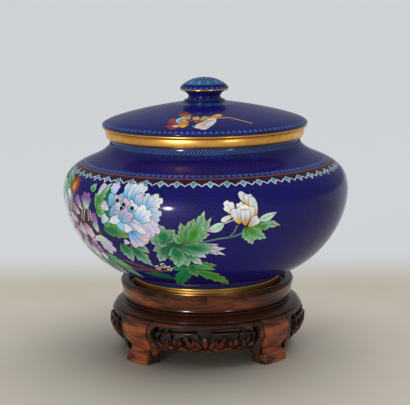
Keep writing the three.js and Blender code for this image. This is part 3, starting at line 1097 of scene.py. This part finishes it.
def bowl_borders(inlay):
    """The lattice under the collar, the shoulder's scallops, drops and chevrons, and the foot border."""
    at = inlay.profile.at_height
    under_collar = inlay.profile.length - 0.3
    inlay.band(at(204.2), under_collar, BORDER_DEEP)
    inlay.band(at(209.2), under_collar, BORDER)
    for low, high in ((at(204.6), at(208.8)), (at(208.8), at(204.6))):
        inlay.zigzag(96, low, high, 0.6, LATTICE)
    inlay.repeat(96, [(0.08, at(203.9)), (0.92, at(203.9)), (0.5, at(200.4))], BORDER_DEEP)
    inlay.scallops(140, at(189.9), at(188.2), 0.1, BORDER)
    inlay.band(at(185.7), at(187.9), MAROON)
    inlay.band(at(187.1), at(187.7), BROWN)
    low, deep, peak, high = at(181.7), at(180.7), at(183.9), at(186.0)
    for drawing, shade in (
        ([(0.0, high), (0.0, low), (0.27, peak), (0.21, high)], MAROON),
        ([(1.0, low), (1.0, high), (0.79, high), (0.73, peak)], MAROON),
        # The pale lines are painted glints of the wires.
        ([(0.0, low), (0.29, peak), (0.23, peak + 0.9), (0.0, low + 1.2)], WIRE_GLINT),
        ([(1.0, low + 1.2), (0.77, peak + 0.9), (0.71, peak), (1.0, low)], WIRE_GLINT),
        ([(0.26, peak), (0.5, deep), (0.74, peak), (0.5, high)], WIRE_GLINT),
        ([(0.33, peak), (0.5, deep + 1.5), (0.67, peak), (0.5, high - 0.5)], TURQUOISE),
    ):
        inlay.repeat(54, drawing, shade)
    inlay.band(at(74.2), at(78.0), BORDER_DEEP)


def lid_picture(inlay):
    """The border at the lid's edge, the ring round its knob and the butterfly."""
    at = inlay.profile.at_height
    inlay.scallops(116, at(224.9), at(226.9), 0.12, BORDER)
    inlay.band(at(223.2), at(224.5), BORDER_DEEP)
    ring = inlay.profile.length - 15.0
    for tip, margin, shade in ((0.0, 0.04, LATTICE), (0.9, 0.10, BORDER_DEEP), (4.0, 0.24, BORDER)):
        inlay.scallops(20, ring + 8.0, ring + tip, margin, shade)
    wing = [
        ((-10, 234), (-21.5, 228.2), 13, ORANGE, RED), ((-10, 234.5), (-26, 233.5), 14, RED, RED),
        ((-10, 235), (-22, 239.5), 12, ORANGE, RED), ((-9, 233), (-14, 229.5), 9, RED, ORANGE),
    ]
    for start, end, width, base, tip in wing:
        inlay.petal(start, end, width, base, tip, veins=2)
    inlay.patch(-15.5, 234.6, 11, 14, SKY)
    inlay.patch(-14.5, 234.4, 8, 10, TURQUOISE)
    inlay.patch(-13.5, 234.3, 5, 6.5, ORANGE)
    inlay.patch(-16.3, 230.4, 7, 3.6, PALE)
    inlay.dot(-11, 237.4, 4, TURQUOISE)
    gold = [
        ((-4, 233), (-6, 237), 8, TAN, YELLOW), ((-2, 234), (4, 237), 8, TAN, LIME),
        ((4, 235.5), (18, 238), 8, TAN, YELLOW), ((8, 235.8), (-3.5, 227.5), 15, TAN, CREAM),
        ((10, 234.8), (1.5, 230), 8, LILAC, WHITE), ((12, 235.5), (2, 234.6), 6, CREAM, YELLOW),
    ]
    for start, end, width, base, tip in gold:
        inlay.petal(start, end, width, base, tip, veins=2 if width > 7 else 0, warm=1.1)
    inlay.stem([(-11, 234.5), (-7, 234.3), (-2, 234.2)], 4.2, RED)
    inlay.dot(-5, 230.5, 4, TURQUOISE)
    inlay.stem([(10, 235.6), (20, 235.8), (26, 233.9), (32, 231)], 3.0, TAN)


def knob_picture(inlay):
    """Petals over the cap, scallops at its rim and round the knob's foot."""
    top = inlay.profile.length
    for count, low, high, margin, shade in (
        (12, top - 19.0, top - 4.0, 0.04, TURQUOISE), (12, top - 18.4, top - 6.5, 0.14, DEEP),
        (12, top - 17.6, top - 11.0, 0.30, TURQUOISE), (26, top - 25.6, top - 22.4, 0.12, BORDER),
        (16, 2.4, 5.6, 0.06, LATTICE), (16, 2.4, 4.8, 0.18, BORDER_DEEP),
        (26, 12.6, 15.0, 0.14, BORDER_DEEP),
    ):
        inlay.scallops(count, low, high, margin, shade)


# ---- Operators ---------------------------------------------------------------------------

BOWL_STEPS, LID_STEPS, KNOB_STEPS, RING_STEPS = 216, 180, 96, 240  # Steps in a full turn.


class BOWL_OT_body(bpy.types.Operator):
    """Make the inlaid bowl"""

    bl_idname = "bowl.body"
    bl_label = "Enamelled Bowl"

    def execute(self, context):
        sizes, colours = context.scene.vessel_sizes, context.scene.enamel_colours
        belly, top, foot = sizes.belly_radius - 0.05, sizes.bowl_top, sizes.bowl_foot
        belly_height, neck = 158.4, 92.6
        lower = bezier((73.0, foot + 3.0), (108.4, 83.8), (belly, 123), (belly, belly_height), 26)
        upper = bezier((belly, belly_height), (belly, 194.9), (104, 185.6), (neck, 206.6), 26)
        outer = np.concatenate([[(72.9, foot + 0.3)], lower, upper[1:], [(neck, top)]])
        wall = inner_wall(outer[1:], sizes.wall)[::-3]
        inner = np.concatenate([
            [(92.0, top)], [(90.6, top)], [point for point in wall if point[1] < top - 1],
            [(40.0, foot + 2.6), (0.0, foot + 2.5), (0.0, foot), (40.0, foot), (72.4, foot)],
        ])
        inlay = Inlay(Profile(outer), belly, sizes.wire)
        bowl_borders(inlay)
        spray_picture(inlay)
        at = inlay.profile.at_height
        fine_box = (inlay.across(-74), inlay.across(34), at(86), at(184))
        piece = inlaid_piece("bowl_enamel", inlay, inner, enamel_materials(colours), sizes.ground_cell,
                             columns=BOWL_STEPS, row=5.0, fine_box=fine_box, fine=2.2)
        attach(piece, BODY)
        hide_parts("bowl_body")
        return {"FINISHED"}


class BOWL_OT_lid(bpy.types.Operator):
    """Make the inlaid lid"""

    bl_idname = "bowl.lid"
    bl_label = "Enamelled Lid"

    def execute(self, context):
        sizes, colours = context.scene.vessel_sizes, context.scene.enamel_colours
        edge, low, crown = sizes.lid_radius, sizes.lid_edge, sizes.lid_crown
        dome = bezier((edge, low + 1.4), (98, low + 8.1), (42, crown - 3.2), (16, crown - 0.15), 30)
        outer = np.concatenate([[(edge - 0.6, low)], dome])
        under = inner_wall(dome, sizes.wall)[::-3]
        inner = np.concatenate([
            [(8.0, crown - 0.05), (0.0, crown), (0.0, crown - sizes.wall)], under[:-1],
            [(edge - 2.4, low + 0.2)],
        ])
        inlay = Inlay(Profile(outer), edge, sizes.wire)
        lid_picture(inlay)
        piece = inlaid_piece("lid_enamel", inlay, inner, enamel_materials(colours), sizes.ground_cell,
                             columns=LID_STEPS, row=4.0)
        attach(piece, BODY)
        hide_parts("lid_dome")
        return {"FINISHED"}


class BOWL_OT_knob(bpy.types.Operator):
    """Make the inlaid knob with its gilt edge"""

    bl_idname = "bowl.knob"
    bl_label = "Knob"

    def execute(self, context):
        sizes, colours = context.scene.vessel_sizes, context.scene.enamel_colours
        base, top = node_low("lid_knob", 2), node_high("lid_knob", 2)
        widest = sizes.knob_radius
        under, over = (widest - 0.8, base + 10.7), (widest - 0.1, base + 11.9)
        waist = bezier((20.6, base + 0.8), (14.0, base + 1.8), (13.0, base + 6.5), under, 14)
        cap = bezier(over, (22.6, base + 16), (13, top), (2.0, top - 0.05), 16)
        outer = np.concatenate([[(20.6, base)], waist, cap])
        inner = [(0.0, top), (0.0, base), (10.0, base)]
        inlay = Inlay(Profile(outer), widest, sizes.wire)
        knob_picture(inlay)
        piece = inlaid_piece("knob_enamel", inlay, inner, enamel_materials(colours), cell=1.6,
                             columns=KNOB_STEPS, row=2.0)
        edge = [
            (widest - 1.6, base + 10.3), (widest - 0.5, base + 10.3), (widest, base + 11.2),
            (widest - 0.1, base + 12.2), (widest - 1.6, base + 12.2),
        ]
        band = spun("knob_band", rounded(edge, 0.4), KNOB_STEPS)
        band.data.materials.append(gilt_material("Gilt Knob Edge", colours.gilt, colours.tarnish))
        for made in (piece, band):
            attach(made, BODY)
        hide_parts("lid_knob")
        return {"FINISHED"}


class BOWL_OT_bands(bpy.types.Operator):
    """Make the gilt collar, the lid's rim and the foot ring"""

    bl_idname = "bowl.bands"
    bl_label = "Gilt Bands"

    def execute(self, context):
        colours = context.scene.enamel_colours
        metal = gilt_material("Gilt Band", colours.gilt, colours.tarnish, 0.24)
        outlines = {
            "mouth_collar": [(88.2, 210.2), (94.6, 210.2), (95.9, 210.9), (96.8, 212.3), (97.3, 214.3),
                             (97.5, 216.6), (97.3, 218.9), (96.7, 219.8), (88.2, 219.8)],
            "lid_rim": [(84.8, 212.0), (87.4, 212.0), (87.4, 220.1), (99.6, 220.1), (100.2, 221.0),
                        (99.9, 222.4), (84.8, 222.4)],
            "foot_ring": [(69.6, 62.3), (73.0, 62.3), (73.3, 64.0), (72.9, 70.5), (73.2, 72.8), (72.8, 73.4),
                          (69.6, 73.4)],
        }
        for node, outline in outlines.items():
            band = spun(node + "_gilt", rounded(outline, 0.7), RING_STEPS)
            band.data.materials.append(metal)
            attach(band, BODY)
            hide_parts(node)
        return {"FINISHED"}


class BOWL_OT_rings(bpy.types.Operator):
    """Make the turned rings at the top of the stand"""

    bl_idname = "bowl.rings"
    bl_label = "Stand Rings"

    def execute(self, context):
        sizes, colours = context.scene.stand_sizes, context.scene.wood_colours
        outer, top = sizes.seat_radius, sizes.seat_top
        seat = [
            (0.0, 54.5), (82.2, 54.5), (83.4, 55.0), (84.0, 56.2), (84.6, 60.0), (85.5, 66.0),
            (84.6, 66.6), (84.5, 67.0), (outer - 0.7, 67.1), (outer, 67.7), (outer - 0.2, 68.4),
            (outer - 1.4, 68.7), (outer - 1.5, 69.0), (outer - 0.9, 69.3), (outer - 1.2, top - 0.1),
            (outer - 2.4, top), (79.0, 69.7), (78.2, 69.0), (77.2, 63.0), (76.0, 62.0), (0.0, 62.0),
        ]
        shoulder = [
            (74.0, 44.3), (91.4, 44.3), (92.3, 44.9), (92.3, 45.7), (91.0, 46.6), (89.6, 48.0), (86.0, 49.4),
            (83.2, 50.2), (84.6, 50.6), (84.9, 51.2), (84.2, 51.8), (81.6, 52.2), (80.8, 52.8),
            (80.8, 54.2), (74.0, 54.2),
        ]
        # Painted shade: the top ring and the dark shoulder take shaded copies of the same wood.
        for node, outline, wood, painted_light in (
            ("stand_seat", seat, "Top Ring Wood Painted Shade", 0.85),
            ("stand_shoulder", rounded(shoulder, 0.5, 2), "Shoulder Wood Painted Shade", 0.18),
        ):
            ring = spun(node + "_ring", outline, RING_STEPS)
            grain_round(ring, 4, math.radians(1.0))
            ring.data.materials.append(wood_material(wood, colours, painted_light))
            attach(ring, BODY)
            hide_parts(node)
        return {"FINISHED"}


# ---- Carved legs and aprons ---------------------------------------------------------------

CARVED_DEPTH = 2.2  # How far the ground of the carving lies under the apron's face, in millimetres.
APRON_HALF = 59.3  # Half the width of the apron's drawing, where it meets the legs.

# The face of a leg as (height, radius), with the grooves of its foot.
LEG_FACE = [
    (0, 95.2), (0.8, 96.2), (2.0, 96.4), (3.6, 96.4), (4.6, 95.9), (5.2, 94.6), (5.8, 93.4), (6.4, 94.3),
    (7.2, 94.9), (8.8, 94.8), (9.6, 94.1), (10.4, 92.2), (11.4, 90.9), (12.8, 90.4), (14.5, 90.6),
    (17, 92.0), (20, 94.0), (24, 96.2), (30, 97.9), (34, 98.0), (37, 97.4), (40, 96.0), (42, 94.5),
    (44, 92.6),
]
LEG_BACK = [(0, 79), (10, 79), (20, 82), (44, 82)]

# Carved leaves of one half of an apron: start and end (across, height), width and bend.
APRON_LEAVES = [
    ((2.5, 20.5), (9.5, 31.5), 5.0, -0.12), ((4.0, 20.0), (15.5, 24.0), 4.2, -0.14),
    ((15.0, 20.5), (11.0, 32.5), 4.6, 0.12), ((15.5, 20.5), (20.0, 34.5), 5.2, 0.10),
    ((16.5, 20.5), (28.0, 23.5), 4.4, -0.16), ((28.0, 20.8), (24.5, 32.0), 4.6, 0.14),
    ((29.0, 20.8), (34.5, 33.5), 5.0, 0.12), ((30.0, 20.5), (41.0, 24.0), 4.4, -0.16),
    ((41.5, 20.5), (37.5, 30.0), 4.6, 0.16), ((43.0, 20.0), (48.5, 28.5), 5.0, -0.1),
]
# Openings between them: start and end, the drawn length, width and bend.
APRON_GAPS = [
    ((44.0, 33.5), (46.5, 25.5), 8.5, 3.6, 0.15), ((31.6, 35.4), (30.8, 27.4), 8.0, 3.4, 0.15),
    ((22.8, 31.8), (21.2, 24.2), 8.0, 3.6, -0.15), ((13.6, 35.0), (13.2, 27.4), 7.6, 3.4, 0.15),
    ((6.4, 35.0), (4.2, 30.0), 5.6, 2.6, -0.15),
]


def edge_distance(outline, x, y):
    """How far points lie from a closed outline."""
    best = np.full(len(x), np.inf)
    for (ax, ay), (dx, dy) in zip(outline, np.roll(outline, -1, axis=0) - outline):
        size = max(dx * dx + dy * dy, 1e-12)
        t = np.clip(((x - ax) * dx + (y - ay) * dy) / size, 0, 1)
        best = np.minimum(best, np.hypot(x - ax - t * dx, y - ay - t * dy))
    return best


def pierced_sheet(outline, holes, mounds, step):
    """Corners and triangles of a drawing, with its openings cut out."""
    points, edges = [], []
    for ring in [outline, *holes, *(mound[0] for mound in mounds)]:
        add_line(points, edges, ring, closed=True)
    low, high = outline.min(axis=0), outline.max(axis=0)
    grid = np.mgrid[low[0] + step / 2:high[0]:step, low[1] + step / 2:high[1]:step].reshape(2, -1)
    points.extend(zip(*grid[:, inside(outline, *grid)]))
    corners, faces = flat_triangles(points, edges)
    middle = corners[faces].mean(axis=1).T
    solid = inside(outline, *middle)
    for hole in holes:
        solid &= ~inside(hole, *middle)
    used, numbers = np.unique(faces[solid], return_inverse=True)
    return corners[used], numbers.reshape(-1, 3)


def raised(mounds, x, z):
    """How far the carving stands out, with the later mounds over the earlier ones."""
    relief = np.zeros(len(x))
    for shape, floor, height, roundness in mounds:
        within = np.flatnonzero(inside(shape, x, z))
        if len(within):
            depth = np.clip(edge_distance(shape, x[within], z[within]) / roundness, 0, 1)
            relief[within] = floor + (height - floor) * np.sqrt(1 - (1 - depth) ** 2)
    return relief


def eased(outlines, x, z, edge):
    """How far the face drops near the outlines, as a quarter round."""
    rim = np.min([edge_distance(outline, x, z) for outline in outlines], axis=0)
    drop = np.clip(1 - rim / edge, 0, 1)
    return edge * (1 - np.sqrt(1 - drop**2))


def open_sides(faces):
    """The sides that only one triangle has."""
    sides = {}
    for face in faces:
        for side in zip(face, face[1:] + face[:1]):
            if side[::-1] in sides:
                del sides[side[::-1]]
            else:
                sides[side] = True
    return list(sides)


def carved_panel(name, outline, holes, mounds, spread, face, back, step, edge):
    """A carved piece of a drum's wall, from a flat drawing (across, height) in millimetres.

    face and back give the radius at each height, spread turns across into an angle at a radius, and
    mounds are (outline, floor, height, roundness). The grid has the given step, and edges are eased.
    """
    outline = np.array(outline, dtype=float)
    corners, faces = pierced_sheet(outline, holes, mounds, step)
    x, z = corners.T
    relief = raised(mounds, x, z) - eased([outline, *holes], x, z, edge)
    layers = [round_axis(radius, spread(x, radius), z) * MM for radius in (face(z) + relief, back(z))]
    count = len(corners)
    faces = [tuple(row) for row in faces.tolist()]
    behind = [(a + count, c + count, b + count) for a, b, c in faces]
    walls = [(b, a, a + count, b + count) for a, b in open_sides(faces)]
    piece = new_piece(name, np.concatenate(layers).tolist(), [], faces + behind + walls)
    attributes = piece.data.attributes
    # The hollow mask paints shade into the wood: it grows with the depth of the carving and is full over the
    # whole back face.
    hollow_shade = np.concatenate([np.clip(-relief / CARVED_DEPTH, 0, 1), np.ones(count)]).astype(np.float32)
    attributes.new("Hollow", "FLOAT", "POINT").data.foreach_set("value", hollow_shade)
    grain = np.concatenate([layer[:, [0, 2, 1]] for layer in layers]).astype(np.float32)
    attributes.new("Grain", "FLOAT_VECTOR", "POINT").data.foreach_set("vector", grain.reshape(-1))
    pick(piece)
    bpy.ops.object.shade_smooth_by_angle(angle=math.radians(42))
    return piece


def through(places):
    """A radius at each height, from places given as (height, radius)."""
    heights, radii = zip(*places)
    return lambda z: np.interp(z, heights, radii)


def apron_face(widest):
    """The bulging face of the aprons: a radius at each height."""
    lower = bezier((91.4, 10), (91.8, 19), (widest, 23), (widest, 31.5), 12)
    upper = bezier((widest, 31.5), (widest, 37), (95.6, 41), (92.2, 44), 12)
    return through([(z, radius) for radius, z in [*lower, *upper[1:]]])


def whole(half):
    """An outline from its right half, which is given from the bottom to the top."""
    return np.array(half + [(-x, z) for x, z in reversed(half) if x], dtype=float)


def mirrored(shapes):
    """Each outline and its copy on the other side."""
    both = []
    for shape in shapes:
        both += [shape, (shape * (-1, 1))[::-1]]
    return both


def placed(drawing, start, end):
    """A drawing along +X laid from start to end, which it was made to span."""
    start, end = np.array(start, dtype=float), np.array(end, dtype=float)
    return laid(drawing, start, (end - start) / np.linalg.norm(end - start))


def apron_shapes():
    """Outline, openings and raised shapes of an apron."""
    outline = whole([
        (0.0, 16.6), (5.5, 16.4), (8.5, 17.0), (12.5, 18.2), (30, 18.2), (43, 17.6), (48, 16.4),
        (51.5, 13.6), (54.0, 11.0), (APRON_HALF, 8.6), (APRON_HALF, 44.0),
    ])
    panel = whole([
        (1.0, 19.2), (13, 20.0), (43, 19.6), (50.5, 17.0), (55.0, 24.0), (55.5, 36.0), (50.0, 40.6),
        (30, 41.0), (1.0, 41.0),
    ])
    slot = strip(bezier((7.5, 37.6), (18, 38.2), (28, 37.8), (37.0, 37.4), 12), 2.4)
    hook = strip(bezier((41.5, 38.0), (54.5, 39.5), (56.0, 33.0), (51.5, 27.0), 14), 4.4)
    gaps = [placed(blade(span, width, bend), start, end) for start, end, span, width, bend in APRON_GAPS]
    rail = strip(bezier((6.0, 35.6), (20, 36.2), (30, 35.6), (39.0, 34.6), 14), 1.9)
    scrolls = [
        strip(bezier((3.0, 21.0), (8, 27), (13, 27), (15.5, 20.6), 12), 1.7),
        strip(bezier((16, 21.0), (21, 28), (26, 28), (28.5, 20.8), 12), 1.7),
        strip(bezier((29, 21.0), (34, 28), (39, 28), (42.0, 20.6), 12), 1.7),
        strip(bezier((39.5, 24.0), (45, 31), (47, 37), (38.5, 35.0), 12), 2.2),
    ]
    leaves, ribs = [], []
    for start, end, width, bend in APRON_LEAVES:
        span = math.dist(start, end)
        leaves.append(placed(blade(span, width, bend), start, end))
        ribs.append(placed(strip(midrib(span, bend, 0.08, 0.85), 0.7), start, end))
    middle_leaf = placed(blade(15.0, 6.0), (0, 20), (0, 35))
    mounds = [(panel, 0.0, -CARVED_DEPTH, 1.2)]
    mounds += [(shape, -2.0, -0.2, 1.1) for shape in mirrored([rail] + scrolls)]
    mounds += [(shape, -1.8, 0.5, 2.0) for shape in mirrored(leaves) + [middle_leaf]]
    mounds += [(shape, 0.3, -0.4, 0.35) for shape in mirrored(ribs)]
    return outline, mirrored([slot, hook] + gaps), mounds


class BOWL_OT_legs(bpy.types.Operator):
    """Make the legs of the stand"""

    bl_idname = "bowl.legs"
    bl_label = "Legs"

    def execute(self, context):
        sizes, colours = context.scene.stand_sizes, context.scene.wood_colours
        half, top = sizes.leg_width / 2, sizes.leg_top
        side = [(half, top), (half, 18.0), (half - 1.0, 15.2), (half - 3.4, 13.2), (half - 3.4, 12.0),
                (half - 2.8, 10.2), (half - 2.0, 8.0), (half - 1.8, 5.0), (half - 2.0, 0.0)]
        outline = [(-x, z) for x, z in side] + side[::-1]
        first = carved_panel(
            "leg_1", outline, [], [], lambda x, radius: np.arcsin(x / radius), through(LEG_FACE),
            through(LEG_BACK), step=1.1, edge=0.9,
        )
        # Painted light: the legs take a lit copy of the wood.
        first.data.materials.append(wood_material("Leg Wood Painted Light", colours, 1.5))
        for index in range(sizes.legs):
            leg = turned_copy(first, f"leg_{index + 1}_carved", 45 + 360 / sizes.legs * index)
            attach(leg, BODY)
            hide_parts(f"stand_leg_{index + 1}")
        bpy.data.objects.remove(first)
        return {"FINISHED"}


class BOWL_OT_aprons(bpy.types.Operator):
    """Make the carved aprons between the legs"""

    bl_idname = "bowl.aprons"
    bl_label = "Carved Aprons"

    def execute(self, context):
        sizes, colours = context.scene.stand_sizes, context.scene.wood_colours
        clear = sizes.leg_width / 2 + 0.3
        thickness = 6.9
        face = apron_face(sizes.apron_radius)

        def spread(x, radius):
            """The apron narrows with its radius, because the legs' sides are parallel."""
            return x / APRON_HALF * (math.pi / sizes.legs - np.arcsin(clear / radius))

        first = carved_panel(
            "apron_1", *apron_shapes(), spread, face, lambda z: face(z) - thickness, step=0.85, edge=0.8
        )
        # Painted shade: the aprons take a shaded copy of the wood.
        first.data.materials.append(wood_material("Apron Wood Painted Shade", colours, 0.6))
        for index in range(sizes.legs):
            apron = turned_copy(first, f"apron_{index + 1}_carved", 360 / sizes.legs * index)
            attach(apron, BODY)
            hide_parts(f"stand_apron_{index + 1}")
        bpy.data.objects.remove(first)
        return {"FINISHED"}


# ---- Stage -------------------------------------------------------------------------------


class BOWL_OT_stage(bpy.types.Operator):
    """Make the floor, the soft lights and the camera"""

    bl_idname = "bowl.stage"
    bl_label = "Floor, Lights and Camera"

    def execute(self, context):
        scene = context.scene
        half = 30.0
        corners = [(-half, -half, 0), (half, -half, 0), (half, half, 0), (-half, half, 0)]
        floor = new_piece("floor", corners, [], [(0, 1, 2, 3)])
        material, nodes, shader = new_material("Pale Floor")
        place = nodes.place()
        _, away, _ = nodes.split(place)
        clouds = nodes.spots(place, 6.0, 3.0, 0.3, 0.7)
        table = nodes.mix(clouds, (0.60, 0.545, 0.445, 1.0), (0.64, 0.585, 0.49, 1.0))
        tint = nodes.mix(nodes.ramp(away, 0.22, 0.42), table, (0.78, 0.80, 0.81, 1.0))
        nodes.feed_all(shader, Base_Color=tint, Roughness=0.55)
        floor.data.materials.append(material)

        world = bpy.data.worlds.new("Soft Room")
        world.use_nodes = True
        room = world.node_tree.nodes["Background"].inputs
        Nodes(world.node_tree).feed_all(room, Color=(0.92, 0.96, 1.0, 1.0), Strength=0.30)
        scene.world = world
        scene.view_settings.view_transform = "Standard"

        for name, side, height, strength, spread, tint in (
            ("Overhead Light", 150.0, 74.0, 1.9, 70.0, (1.0, 1.0, 1.0)),
            ("Left Lamp", -28.0, 2.0, 1.5, 6.0, (1.0, 0.98, 0.95)),
            ("Right Lamp", 31.0, 3.0, 0.25, 6.0, (1.0, 0.99, 0.97)),
        ):
            light = bpy.data.lights.new(name, "SUN")
            light.energy = strength
            light.angle = math.radians(spread)
            light.color = tint
            lamp = bpy.data.objects.new(name, light)
            lamp.rotation_euler = (math.radians(90 - height), 0.0, math.radians(side))
            lamp.visible_glossy = name != "Overhead Light"
            scene.collection.objects.link(lamp)

        camera = bpy.data.objects.new("Camera", bpy.data.cameras.new("Camera"))
        scene.collection.objects.link(camera)
        side, down, roll = math.radians(1.5), math.radians(10.45), math.radians(-0.8)
        distance, rise = 1.249, 0.374
        camera.location = (distance * math.sin(side), -distance * math.cos(side), rise)
        turn = Matrix.Rotation(side, 4, "Z") @ Matrix.Rotation(math.radians(90) - down, 4, "X")
        camera.rotation_euler = (turn @ Matrix.Rotation(roll, 4, "Z")).to_euler()
        camera.data.lens = 112.4
        camera.data.sensor_width = 36
        camera.data.shift_x = -0.0022
        scene.camera = camera
        return {"FINISHED"}


# ---- Panel and registration --------------------------------------------------------------


class BOWL_PT_pieces(bpy.types.Panel):
    """Lists what the add-on makes"""

    bl_label = "Bowl on a Stand"
    bl_idname = "BOWL_PT_pieces"
    bl_space_type = "VIEW_3D"
    bl_region_type = "UI"
    bl_category = "Bowl"

    def draw(self, context):
        for group in ("vessel_sizes", "enamel_colours", "stand_sizes", "wood_colours"):
            settings = getattr(context.scene, group)
            box = self.layout.box()
            for name in settings.__annotations__:
                box.prop(settings, name)
        for operator in OPERATORS:
            self.layout.operator(operator.bl_idname)


SETTINGS = {
    "vessel_sizes": VesselSizes,
    "enamel_colours": EnamelColours,
    "stand_sizes": StandSizes,
    "wood_colours": WoodColours,
}
OPERATORS = (
    BOWL_OT_body, BOWL_OT_lid, BOWL_OT_knob, BOWL_OT_bands, BOWL_OT_rings, BOWL_OT_legs, BOWL_OT_aprons,
    BOWL_OT_stage,
)
CLASSES = (*SETTINGS.values(), *OPERATORS, BOWL_PT_pieces)


def register():
    for made in CLASSES:
        bpy.utils.register_class(made)
    for name, settings in SETTINGS.items():
        setattr(bpy.types.Scene, name, PointerProperty(type=settings))


def unregister():
    for name in SETTINGS:
        delattr(bpy.types.Scene, name)
    for made in reversed(CLASSES):
        bpy.utils.unregister_class(made)


def main():
    register()
    for operator in OPERATORS:
        group, name = operator.bl_idname.split(".")
        getattr(getattr(bpy.ops, group), name)()


if __name__ == "__main__":
    main()
